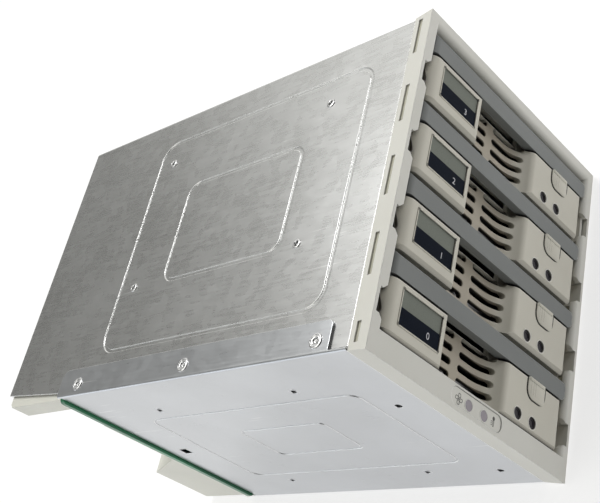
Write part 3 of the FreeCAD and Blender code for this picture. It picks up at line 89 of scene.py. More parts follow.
class Along(Enum):
    """A direction in the cage, in the order of its coordinates."""

    ACROSS = 0
    DEPTH = 1
    HEIGHT = 2

    def stretch(self, length: float) -> Vector:
        """Return a scale that draws a pattern out along this direction.

        Args:
            length: how many times longer the pattern gets.

        Returns:
            The factor for each axis.
        """
        scale = Vector((1.0, 1.0, 1.0))
        scale[self.value] = 1.0 / length
        return scale


# Shader maths


class Signal:
    """One output socket that takes part in arithmetic."""

    def __init__(self, graph: Graph, socket: bpy.types.NodeSocket) -> None:
        """Keep the socket and the graph that it belongs to."""
        self.graph = graph
        self.socket = socket

    def __add__(self, other: Number) -> Signal:
        """Return the sum."""
        return self.graph.math("ADD", self, other)

    __radd__ = __add__

    def __sub__(self, other: Number) -> Signal:
        """Return the difference."""
        return self.graph.math("SUBTRACT", self, other)

    def __rsub__(self, other: Number) -> Signal:
        """Return the difference, taken from the other term."""
        return self.graph.math("SUBTRACT", other, self)

    def __mul__(self, other: Number) -> Signal:
        """Return the product."""
        return self.graph.math("MULTIPLY", self, other)

    __rmul__ = __mul__

    def __mod__(self, other: Number) -> Signal:
        """Return what is left over after whole steps."""
        return self.graph.math("FLOORED_MODULO", self, other)

    def band(self, low: float, high: float) -> Signal:
        """Return a smooth step.

        Args:
            low: the value up to which it is 0.
            high: the value from which it is 1, which may be the lower one.

        Returns:
            The step.
        """
        smooth = {"interpolation_type": "SMOOTHSTEP"}
        ends = {"n1": low, "n2": high, "n3": 0.0, "n4": 1.0}
        return self.graph.out(0, "ShaderNodeMapRange", smooth, n0=self, **ends)


class Graph:
    """The nodes of one material or of the room, from where they are read."""

    def __init__(
        self, owner: bpy.types.Material | bpy.types.World, read: str = "Object"
    ) -> None:
        """Start an empty tree.

        Args:
            owner: the material or room that the nodes belong to.
            read: the coordinates that its patterns follow.
        """
        owner.use_nodes = True
        self.owner = owner
        self.tree = owner.node_tree
        self.tree.nodes.clear()
        self.place = self.out(read, "ShaderNodeTexCoord")

    def node(
        self, kind: str, settings: dict[str, object] | None = None, **values: object
    ) -> bpy.types.Node:
        """Add one node.

        Args:
            kind: the node's type.
            settings: its properties, set before its sockets.
            values: a value or a link for each socket, by the socket's name with
                underscores for spaces, or by its number as n0, n1 and so on.

        Returns:
            The new node.
        """
        made = self.tree.nodes.new(kind)
        for key, value in (settings or {}).items():
            setattr(made, key, value)
        for key, value in values.items():
            index = int(key[1:]) if key[1:].isdigit() else key.replace("_", " ")
            if isinstance(value, Signal):
                self.tree.links.new(value.socket, made.inputs[index])
            else:
                made.inputs[index].default_value = value
        return made

    def out(
        self,
        output: int | str,
        kind: str,
        settings: dict[str, object] | None = None,
        **values: object,
    ) -> Signal:
        """Add one node, as node does, and return one of its outputs."""
        return Signal(self, self.node(kind, settings, **values).outputs[output])

    def math(self, operation: str, *terms: Number) -> Signal:
        """Add a Math node on one to three terms."""
        sockets = {f"n{index}": term for index, term in enumerate(terms)}
        return self.out(0, "ShaderNodeMath", {"operation": operation}, **sockets)

    def axis(self, which: Along) -> Signal:
        """Return one coordinate of the place on the object."""
        return self.out(which.value, "ShaderNodeSeparateXYZ", n0=self.place)

    def scaled(self, scale: Vector, turn: Corner = (0.0, 0.0, 0.0)) -> Signal:
        """Return the place on the object, turned in radians and scaled."""
        moved = {"Rotation": turn, "Scale": scale}
        return self.out(0, "ShaderNodeMapping", n0=self.place, **moved)

    def noise(
        self, size: float, detail: float = 3.0, at: Signal | None = None
    ) -> Signal:
        """Return a soft random value about 0.5.

        Args:
            size: the width of one patch in metres.
            detail: how many finer layers it has.
            at: where it is read, or the place on the object.

        Returns:
            The noise.
        """
        return self.out(
            "Fac",
            "ShaderNodeTexNoise",
            Vector=at or self.place,
            Scale=1.0 / size,
            Detail=detail,
            Roughness=0.55,
        )

    def cells(self, size: float, at: Signal | None = None) -> Signal:
        """Return one random value for each cell of a broken-up surface.

        Args:
            size: the width of one cell in metres.
            at: where it is read, or the place on the object.

        Returns:
            The value.
        """
        read = {"Vector": at or self.place, "Scale": 1.0 / size}
        tones = self.out("Color", "ShaderNodeTexVoronoi", {"feature": "F1"}, **read)
        return self.out(0, "ShaderNodeSeparateColor", n0=tones)

    @staticmethod
    def opaque(colour: Colour | Signal) -> Signal | tuple[float, ...]:
        """Return a colour as a socket takes it."""
        return colour if isinstance(colour, Signal) else (*colour, 1.0)

    def mix(
        self, factor: Number, first: Colour | Signal, second: Colour | Signal
    ) -> Signal:
        """Blend two colours.

        Args:
            factor: 0 for the first and 1 for the second.
            first: a colour or a colour signal.
            second: a colour or a colour signal.

        Returns:
            The blended colour.
        """
        ends = {"n6": self.opaque(first), "n7": self.opaque(second)}
        settings = {"data_type": "RGBA", "clamp_factor": True}
        return self.out(2, "ShaderNodeMix", settings, n0=factor, **ends)

    def soft_edge(self, radius: float) -> Signal:
        """Return a normal that rolls over sharp edges within a radius."""
        return self.out(0, "ShaderNodeBevel", {"samples": 8}, Radius=radius)

    def rim(self, normal: Signal) -> Signal:
        """Return how far a rolled normal turns away from the plain one.

        Args:
            normal: the rolled normal.

        Returns:
            0 where they agree, and more towards an edge.
        """
        plain = self.out("Normal", "ShaderNodeNewGeometry")
        dot = {"operation": "DOT_PRODUCT"}
        return 1.0 - self.out("Value", "ShaderNodeVectorMath", dot, n0=normal, n1=plain)

    def open_sky(self, reach: float) -> Signal:
        """Return 1 in the open and less in crevices narrower than a reach."""
        few = {"samples": 6}
        return self.out("AO", "ShaderNodeAmbientOcclusion", few, Distance=reach)

    def bump(
        self, height: Signal, depth: float, normal: Signal | None = None
    ) -> Signal:
        """Return a normal that shows a height.

        Args:
            height: the height, from 0 to 1.
            depth: what a height of 1 stands for, in metres.
            normal: the normal that it is laid over.

        Returns:
            The new normal.
        """
        shown = {"Strength": 1.0, "Distance": depth, "Height": height}
        if normal:
            shown["Normal"] = normal
        return self.out(0, "ShaderNodeBump", **shown)

    def surface(
        self,
        colour: Colour | Signal,
        roughness: Number,
        metallic: float = 0.0,
        normal: Signal | None = None,
        coat: float = 0.0,
        gloss: float = 0.5,
    ) -> None:
        """End the material in a Principled surface.

        Args:
            colour: its base colour.
            roughness: its roughness.
            metallic: 1 for bare metal and 0 for anything else.
            normal: its normal, or the mesh's own.
            coat: the weight of a clear coat.
            gloss: how strongly it mirrors, 0.5 for common plastics.
        """
        extra = {"Normal": normal} if normal else {}
        shader = self.out(
            0,
            "ShaderNodeBsdfPrincipled",
            Base_Color=self.opaque(colour),
            Roughness=roughness,
            Metallic=metallic,
            Coat_Weight=coat,
            Specular_IOR_Level=gloss,
            **extra,
        )
        self.node("ShaderNodeOutputMaterial", Surface=shader)


# Finishes


@dataclass(frozen=True)
class Bay:
    """Where a carrier's own lengths lie in the cage.

    Attributes:
        index: which bay it is, from 0 beside the status strip.
        start: where the first bay starts across the cage.
        pitch: one bay to the next.
        front: the face of the blocks.
        lever: where the lever starts across a bay.
    """

    index: int = 0
    start: float = -64.33 * MM
    pitch: float = 32.85 * MM
    front: float = -110.15 * MM
    lever: float = 22.75 * MM

    @property
    def side(self) -> float:
        """Return where this bay starts across the cage."""
        return self.start + self.pitch * self.index

    @classmethod
    def across(cls, g: Graph) -> Signal:
        """Return how far a place lies across its own bay."""
        return (g.axis(Along.ACROSS) - cls.start) % cls.pitch


def shade(colour: Colour, factor: float, lift: float = 0.0) -> Colour:
    """Return a colour times a factor, lifted and kept to 1 at most."""
    return tuple(min(1.0, factor * part + lift) for part in colour)


@dataclass(frozen=True)
class Moulding:
    """Injection-moulded plastic: spark texture, worn edges with a painted highlight,
    crevices with painted shade and grime.

    Attributes:
        colour: its base colour.
        roughness: its mean roughness.
        edge: the radius that its moulded edges have.
        aged: a second colour that shows in large faint patches.
        crevice: the width of gap that painted shade and grime darken.
        grime: how dark painted shade and grime make its crevices, from 0 for black to 1
            for none.
        rubbed: how much lighter its edges are, from handling wear and a painted
            highlight.
        grain: the width of one grain of the texture.
        relief: the depth of the texture.
        patch: the width of an aged patch.
    """

    colour: Colour
    roughness: float = 0.5
    edge: float = 0.35 * MM
    aged: Colour | None = None
    crevice: float = 1.6 * MM
    grime: float = 0.3
    rubbed: float = 0.35
    grain: float = 0.35 * MM
    relief: float = 0.02 * MM
    patch: float = 28 * MM

    def lay(self, g: Graph) -> None:
        """Lay the finish out.

        Args:
            g: the material's nodes.
        """
        patches = g.noise(self.patch, 4.0)
        grain = g.noise(self.grain, 2.0)
        tone = self.aged or shade(self.colour, 0.93)
        colour = g.mix(patches.band(0.4, 0.75) * 0.6, self.colour, tone)
        colour = g.mix(grain.band(0.6, 0.8) * 0.4, colour, shade(self.colour, 0.88))
        rolled = g.soft_edge(self.edge)
        open_sky = g.open_sky(self.crevice)
        # edges lighter from wear, with a painted highlight along them
        worn_and_lit_edges = g.rim(rolled).band(0.01, 0.14) * open_sky.band(0.35, 0.6)
        light = shade(self.colour, 1.35, 0.13)
        colour = self.soiled(g, g.mix(worn_and_lit_edges * self.rubbed, colour, light), open_sky)
        roughness = self.roughness + (patches - 0.5) * 0.12 + (grain - 0.5) * 0.1
        g.surface(colour, roughness, normal=g.bump(grain, self.relief, rolled))

    def soiled(self, g: Graph, colour: Signal, open_sky: Signal) -> Signal:
        """Darken a colour in crevices with painted shade and grime."""
        # painted shade, with grime, where crevices cut off the open sky
        grimy_shade = shade(self.colour, self.grime)
        return g.mix(1.0 - open_sky.band(0.35, 0.8), colour, grimy_shade)


@dataclass(frozen=True)
class FaceMoulding(Moulding):
    """The carriers' plastic: painted shade and dust in the recess, and painted shade in
    the slots behind it.

    Attributes:
        recess: how far the recess lies behind the face.
        dust: the colour of the dust and painted shade deep in the recess.
        depths: the painted shade inside the slots.
        clean: the plastic beside each bay's own sides that gets neither painted shade
            nor dust.
        blur: how softly that side plastic ends.
        sill: the height below which no slot is cut.
    """

    recess: float = 7.25 * MM
    dust: Colour = (0.3, 0.235, 0.16)
    depths: Colour = (0.006, 0.005, 0.004)
    clean: float = 2.0 * MM
    blur: float = 0.2 * MM
    sill: float = 20.0 * MM

    def soiled(self, g: Graph, colour: Signal, open_sky: Signal) -> Signal:
        """Darken a colour: painted shade and grime in crevices, painted shade and dust
        in the recess, painted shade in its slots.

        Args:
            g: the material's nodes.
            colour: the colour before painted shade, grime and dust.
            open_sky: 1 in the open and less in crevices.

        Returns:
            The darkened colour.
        """
        behind = g.axis(Along.DEPTH) - Bay.front
        across = Bay.across(g)
        inside = across.band(self.clean, self.clean + self.blur)
        inside = inside * across.band(Bay.lever, Bay.lever - self.blur)
        # painted shade, with dust, deeper in the recess
        dusty = behind.band(0.5 * self.recess, self.recess) * inside
        colour = g.mix(dusty * 0.55, colour, self.dust)
        # painted shade: the slots behind the recess go near black
        slots = behind.band(self.recess + 0.1 * MM, self.recess + 1.0 * MM) * inside
        slots = slots * g.axis(Along.HEIGHT).band(self.sill, self.sill + 1.0 * MM)
        colour = g.mix(slots, colour, self.depths)
        return super().soiled(g, colour, open_sky)


@dataclass(frozen=True)
class SheetSteel:
    """Zinc coated sheet: faint spangle, rolling lines, a few light scratches, and a
    painted sheen on its bends.

    Attributes:
        light: the colour of the bright spangles.
        dark: the colour of the dull ones.
        roughness: its mean roughness.
        wear: how sharp a bend starts to take its painted sheen and wear, and how sharp
            one takes them fully.
        rolled: the direction of the rolling lines.
        cloud: the width of its broad light and dark patches.
        spangle: the width of one spangle.
        line: the width of one rolling line.
        speck: the width of one speck.
        scratch: the width of one scratch.
        scratched: the width of a patch that has scratches.
        edge: the radius that its sheared edges have.
        scratch_turn: how far the scratches are turned about the upright axis.
        bare: the colour of scratched and worn metal, and of the painted sheen on bends.
        relief: the depth of its texture.
    """

    light: Colour
    dark: Colour
    roughness: float
    wear: tuple[float, float] = (0.09, 0.22)
    rolled: Along = Along.DEPTH
    cloud: float = 60 * MM
    spangle: float = 4 * MM
    line: float = 0.8 * MM
    speck: float = 0.5 * MM
    scratch: float = 0.9 * MM
    scratched: float = 32 * MM
    edge: float = 0.5 * MM
    scratch_turn: float = 0.6
    bare: Colour = (0.97, 0.97, 0.96)
    relief: float = 0.0015 * MM

    def lay(self, g: Graph) -> None:
        """Lay the finish out.

        Args:
            g: the material's nodes.
        """
        wander = g.noise(self.cloud, 2.0)
        flakes = g.cells(self.spangle)
        lines = g.noise(self.line, 2.0, g.scaled(self.rolled.stretch(14.0)))
        specks = g.noise(self.speck, 3.0)
        drawn = g.scaled(Along.DEPTH.stretch(45.0), (0.0, 0.0, self.scratch_turn))
        scratches = g.noise(self.scratch, 1.0, drawn).band(0.7, 0.76)
        scratches = scratches * g.noise(self.scratched, 4.0).band(0.52, 0.66)
        tone = (flakes - 0.5) * 0.06 + (lines - 0.5) * 0.12 + (specks - 0.5) * 0.1
        tone = tone + (wander - 0.5) * 0.8 + 0.5
        colour = g.mix(tone.band(0.15, 0.85), self.dark, self.light)
        rolled = g.soft_edge(self.edge)
        # bends lighter: a painted sheen with some wear; scratches show bare metal
        worn_and_lit_edges = g.rim(rolled).band(*self.wear)
        colour = g.mix(g.math("MAXIMUM", scratches * 0.4, worn_and_lit_edges), colour, self.bare)
        roughness = self.roughness + (wander - 0.5) * 0.04
        roughness = roughness + (flakes - 0.5) * 0.02 + (lines - 0.5) * 0.08
        normal = g.bump(lines * 0.2 + specks * 0.15, self.relief, rolled)
        g.surface(colour, roughness, 1.0, normal)


@dataclass(frozen=True)
class TurnedSteel:
    """Bright plated fasteners with fine turning marks.

    Attributes:
        colour: its base colour.
        roughness: its mean roughness.
        mark: the width of one turning mark.
    """

    colour: Colour
    roughness: float = 0.26
    mark: float = 0.4 * MM

    def lay(self, g: Graph) -> None:
        """Lay the finish out.

        Args:
            g: the material's nodes.
        """
        marks = g.noise(self.mark, 3.0)
        colour = g.mix(marks.band(0.35, 0.75), self.colour, shade(self.colour, 0.7))
        normal = g.bump(marks, 0.01 * MM, g.soft_edge(0.2 * MM))
        g.surface(colour, self.roughness + (marks - 0.5) * 0.2, 1.0, normal)


@dataclass(frozen=True)
class Glaze:
    """Smooth plastic or ink, such as a lens or a printed sign.

    Attributes:
        colour: its base colour.
        roughness: its mean roughness.
        coat: the weight of its clear surface.
        gloss: how strongly it mirrors.
        smear: the width of one hazy patch.
    """

    colour: Colour
    roughness: float = 0.22
    coat: float = 0.4
    gloss: float = 0.5
    smear: float = 3 * MM

    def lay(self, g: Graph) -> None:
        """Lay the finish out.

        Args:
            g: the material's nodes.
        """
        haze = g.noise(self.smear, 4.0)
        dusty = shade(self.colour, 1.12, 0.01)
        colour = g.mix(haze.band(0.5, 0.8) * 0.5, self.colour, dusty)
        normal = g.soft_edge(0.15 * MM)
        roughness = self.roughness + (haze - 0.5) * 0.14
        g.surface(colour, roughness, 0.0, normal, self.coat, self.gloss)


@dataclass(frozen=True)
class PrintedCard:
    """A label insert in two printed bands, the same in every bay.

    Attributes:
        upper: the colour of the band beside the lever.
        lower: the colour of the band that carries the number.
        seam: where the bands meet in a bay.
        blur: half the width of the seam.
        fibre: the width of one fibre.
        gloss: how strongly it mirrors.
    """

    upper: Colour
    lower: Colour
    seam: float
    blur: float = 0.05 * MM
    fibre: float = 0.6 * MM
    gloss: float = 0.04

    def lay(self, g: Graph) -> None:
        """Lay the finish out.

        Args:
            g: the material's nodes.
        """
        across = Bay.across(g)
        fibres = g.noise(self.fibre, 3.0)
        faded, pale = shade(self.upper, 0.86), shade(self.lower, 1.7, 0.004)
        upper = g.mix(fibres.band(0.4, 0.75), self.upper, faded)
        lower = g.mix(fibres.band(0.5, 0.8), self.lower, pale)
        side = across.band(self.seam - self.blur, self.seam + self.blur)
        colour = g.mix(side, lower, upper)
        normal = g.bump(fibres, 0.01 * MM)
        roughness = 0.5 + (fibres - 0.5) * 0.1
        g.surface(colour, roughness, normal=normal, gloss=self.gloss)


@dataclass(frozen=True)
class Laminate:
    """Glass-fibre circuit board under green solder mask, with fine copper runs.

    Attributes:
        mask: the mask over bare laminate.
        copper: the mask over copper.
        thread: the colour of the weave below.
        pitch: the distance between copper runs.
        weave: the width of one thread.
    """

    mask: Colour
    copper: Colour
    thread: Colour = (0.01, 0.08, 0.04)
    pitch: float = 2.2 * MM
    weave: float = 0.6 * MM

    def lay(self, g: Graph) -> None:
        """Lay the finish out.

        Args:
            g: the material's nodes.
        """
        runs = g.cells(self.pitch, g.scaled(Along.HEIGHT.stretch(14.0)))
        weave = g.noise(self.weave, 2.0)
        laid = runs.band(0.45, 0.5)
        colour = g.mix(laid, self.mask, self.copper)
        colour = g.mix(weave.band(0.5, 0.8) * 0.25, colour, self.thread)
        normal = g.bump(laid * 0.8 + weave * 0.2, 0.03 * MM)
        g.surface(colour, 0.32 + weave * 0.1, normal=normal, coat=0.3)


Finish = Union[Moulding, SheetSteel, TurnedSteel, Glaze, PrintedCard, Laminate]
FINISHES: dict[str, Finish] = {
    "shell_steel": SheetSteel(
        (0.62, 0.622, 0.617), (0.52, 0.52, 0.51), 0.28, wear=(0.01, 0.15)
    ),
    # The side plate's faint cool tint is painted cool light falling on that side.
    "plate_steel": SheetSteel((0.6, 0.615, 0.635), (0.5, 0.51, 0.525), 0.3),
    "tray_steel": SheetSteel((0.5, 0.5, 0.51), (0.4, 0.4, 0.41), 0.4),
    "fastener_steel": TurnedSteel((0.8, 0.8, 0.8)),
    "gold_contacts": TurnedSteel((0.83, 0.62, 0.25), 0.22),
    "bezel_plastic": Moulding(
        (0.72, 0.71, 0.655), aged=(0.69, 0.68, 0.615), grime=0.7, rubbed=0.6
    ),
    "carrier_plastic": FaceMoulding(
        (0.63, 0.605, 0.52),
        edge=0.45 * MM,
        crevice=3.5 * MM,
        grime=0.025,
        rubbed=0.85,
    ),
    "lever_plastic": Moulding(
        (0.185, 0.195, 0.19),
        0.46,
        edge=0.6 * MM,
        crevice=2.5 * MM,
        grime=0.04,
        rubbed=0.8,
    ),
    "shroud_plastic": Moulding((0.76, 0.755, 0.68), grime=0.6),
    # Darker than the bezel: painted shade and dust on the sunk slit floors.
    "slit_shade_plastic": Moulding((0.5, 0.49, 0.4), grime=0.8),
    # Lighter than the carrier: a painted highlight on the lamp rims.
    "highlight_rim": Moulding((0.8, 0.78, 0.72), rubbed=0.0),
    "shadow_gap": Moulding((0.02, 0.019, 0.017), 0.8, rubbed=0.0),
    "guide_plastic": Moulding((0.03, 0.03, 0.032), 0.4),
    "spring_plastic": Moulding((0.05, 0.042, 0.03), 0.35, grime=0.1),
    "connector_plastic": Moulding((0.02, 0.02, 0.02), 0.38),
    "power_plastic": Moulding((0.82, 0.81, 0.76), 0.4),
    "fan_plastic": Moulding((0.025, 0.025, 0.027), 0.4),
    "label_panel": PrintedCard(
        (0.22, 0.235, 0.205), (0.003, 0.006, 0.014), 12.95 * MM
    ),
    "label_ink": Glaze((0.62, 0.62, 0.66), 0.4, 0.0),
    "fine_line": Glaze((0.3, 0.3, 0.28), 0.5, 0.0),
    "sign_ink": Glaze((0.12, 0.12, 0.11), 0.5, 0.0),
    "status_lens": Glaze((0.27, 0.24, 0.27), 0.3),
    "carrier_lens": Glaze((0.02, 0.016, 0.022), 0.3, 0.1, 0.2),
    "board_laminate": Laminate((0.012, 0.16, 0.07), (0.025, 0.25, 0.11)),
}
# The nodes of each slot. A node of one bay stands here without its number.
SLOTS: dict[str, tuple[str, ...]] = {
    "shell_steel": ("cage_shell",),
    "plate_steel": ("side_plate",),
    "fastener_steel": (
        "flange_rivets_top",
        "flange_rivets_bottom",
        "guide_rivets_top",
        "guide_rivets_bottom",
        "board_screws",
        "fan_screws",
        "lever_pin",
    ),
    "guide_plastic": ("guide_top", "guide_bottom"),
    "bezel_plastic": ("front_bezel",),
    "status_lens": ("status_lights",),
    "board_laminate": ("backplane_board",),
    "connector_plastic": ("drive_connectors", "signal_connectors"),
    "power_plastic": ("power_connectors",),
    "shroud_plastic": ("rear_shroud",),
    "fan_plastic": ("fan_frame", "fan_rotor"),
    "carrier_plastic": ("carrier_face", "latch"),
    "tray_steel": ("carrier_tray",),
    "label_panel": ("port_label",),
    "carrier_lens": ("carrier_lights",),
    "lever_plastic": ("lever",),
}


@dataclass
class Paint:
    """Makes each finish once and hands it out by name.

    Attributes:
        made: the materials made so far.
    """

    made: dict[str, bpy.types.Material] = field(default_factory=dict)

    def of(self, name: str) -> bpy.types.Material:
        """Return the material of a finish.

        Args:
            name: the finish's name.

        Returns:
            The material, which is made on its first use.
        """
        if name not in self.made:
            g = Graph(bpy.data.materials.new(name.replace("_", " ")))
            FINISHES[name].lay(g)
            self.made[name] = g.owner
        return self.made[name]

    def dress(
        self, piece: Piece, slot: str, finish: str | None = None
    ) -> None:
        """Give a piece one finish all over.

        Args:
            piece: the piece.
            slot: the record's slot that it takes its finish from.
            finish: a finish of its own, where it isn't the slot's.
        """
        piece.data.materials.clear()
        piece.data.materials.append(self.of(finish or slot))


# Studio


@dataclass
class Studio:
    """A white floor, a soft room light and the camera.

    Attributes:
        eye: where the camera stands.
        forward: where it looks.
        up: the direction that is up in its frame.
        lens: its focal length in millimetres.
        sensor: the width of its sensor in millimetres.
        floor_span: the width of the floor.
        floor_drop: how far the floor lies under the cage.
        floor_tone: how light its paper is.
        floor_glow: how much light it gives by itself.
        aim: the place that the lights face.
        weights: the room's even light, and how much its window, its sweep, its
            ceiling and its far corner add.
        dim: the share of light that is lost behind the camera.
    """

    eye: Vector = Vector((-0.20883, -0.32475, 0.3502))
    forward: Vector = Vector((0.4695, 0.6669, -0.5787))
    up: Vector = Vector((0.8579, -0.1896, 0.4775))
    lens: float = 62.12
    sensor: float = 36.0
    floor_span: float = 8.0
    floor_drop: float = 0.0005
    floor_tone: Colour = (0.42, 0.42, 0.42)
    floor_glow: float = 0.68
    aim: Vector = Vector((0.0, 0.0, 0.06))
    weights: tuple[float, ...] = (0.2, 0.62, 0.3, 1.9, 1.3)
    dim: float = 0.93

    def build(self) -> None:
        """Build the floor, the lights and the camera."""
        self._lay_floor()
        self._light_room()
        self._light("key", Vector((0.5, 0.3, 1.1)), 0.4, 4.0)
        self._light("fill", Vector((0.5, -0.5, 0.25)), 0.25, 0.8)
        self._stand_camera()
        bpy.context.scene.view_settings.view_transform = "Standard"

    def _lay_floor(self) -> None:
        """Lay the floor just under the cage."""
        deselect()
        below = (0.0, 0.0, -self.floor_drop)
        bpy.ops.mesh.primitive_plane_add(size=self.floor_span, location=below)
        floor = bpy.context.object
        floor.name = "studio_floor"
        g = Graph(bpy.data.materials.new("studio floor"))
        tone = g.opaque(self.floor_tone)
        paper = g.out(0, "ShaderNodeBsdfDiffuse", Color=tone)
        glow = g.out(0, "ShaderNodeEmission", Strength=self.floor_glow)
        both = g.out(0, "ShaderNodeAddShader", n0=paper, n1=glow)
        g.node("ShaderNodeOutputMaterial", Surface=both)
        floor.data.materials.append(g.owner)

    def _light_room(self) -> None:
        """Light the room: a bright ceiling and sweep, darker behind the camera."""
        world = bpy.data.worlds.new("studio room")
        bpy.context.scene.world = world
        g = Graph(world, "Generated")
        even, by_window, by_sweep, by_ceiling, by_corner = self.weights
        across, depth, height = (g.axis(way) for way in Along)
        ceiling = height.band(0.6, 0.92)
        sweep = 1.0 - height.band(0.16, 0.42)
        window = (across - depth).band(-0.32, 0.2)
        corner = (depth - across).band(1.05, 1.35) * height.band(0.5, 0.1)
        strength = even + window * by_window + sweep * by_sweep + ceiling * by_ceiling
        strength = strength * (1.0 - depth.band(0.3, -0.2) * self.dim)
        strength = strength + corner * by_corner
        tint = g.mix(corner, (1.0, 1.0, 0.965), (0.9, 0.95, 1.0))
        glow = g.out(0, "ShaderNodeBackground", Color=tint, Strength=strength)
        g.node("ShaderNodeOutputWorld", Surface=glow)

    def _light(self, name: str, place: Vector, span: float, power: float) -> None:
        """Hang one square light that faces the cage.

        Args:
            name: the light's name.
            place: where it hangs.
            span: its width.
            power: its power in watts.
        """
        deselect()
        bpy.ops.object.light_add(type="AREA", location=place)
        light = bpy.context.object
        light.name = f"studio_{name}"
        light.data.size = span
        light.data.energy = power
        turn = (self.aim - place).to_track_quat("-Z", "Y")
        light.rotation_euler = turn.to_euler()

    def _stand_camera(self) -> None:
        """Stand the camera with the cage's long edges tilted in its frame."""
        deselect()
        bpy.ops.object.camera_add()
        camera = bpy.context.object
        camera.name = "studio_camera"
        back = -self.forward.normalized()
        right = self.up.cross(back).normalized()
        turn = Matrix((right, back.cross(right), back)).transposed()
        camera.matrix_world = Matrix.Translation(self.eye) @ turn.to_4x4()
        camera.data.lens = self.lens
        camera.data.sensor_width = self.sensor
        camera.data.clip_start = 0.01
        bpy.context.scene.camera = camera


# Tools


def deselect() -> None:
    """Leave object mode with nothing selected."""
    if bpy.context.object and bpy.context.object.mode != "OBJECT":
        bpy.ops.object.mode_set(mode="OBJECT")
    bpy.ops.object.select_all(action="DESELECT")


def spread(low: float, high: float, count: int) -> list[float]:
    """Space values evenly.

    Args:
        low: the first value.
        high: the last value.
        count: how many there are.

    Returns:
        The values, or only the middle where the count is 1.
    """
    if count == 1:
        return [(low + high) / 2]
    return [low + (high - low) * index / (count - 1) for index in range(count)]


class Facing(Enum):
    """Which way the top of a piece made lying down is turned in the cage."""

    UP = (0.0, 0.0, 0.0)
    DOWN = (math.pi, 0.0, 0.0)
    FRONT = (math.pi / 2, 0.0, 0.0)
    REAR = (-math.pi / 2, 0.0, 0.0)
    LEFT = (0.0, -math.pi / 2, 0.0)
    RIGHT = (0.0, math.pi / 2, 0.0)


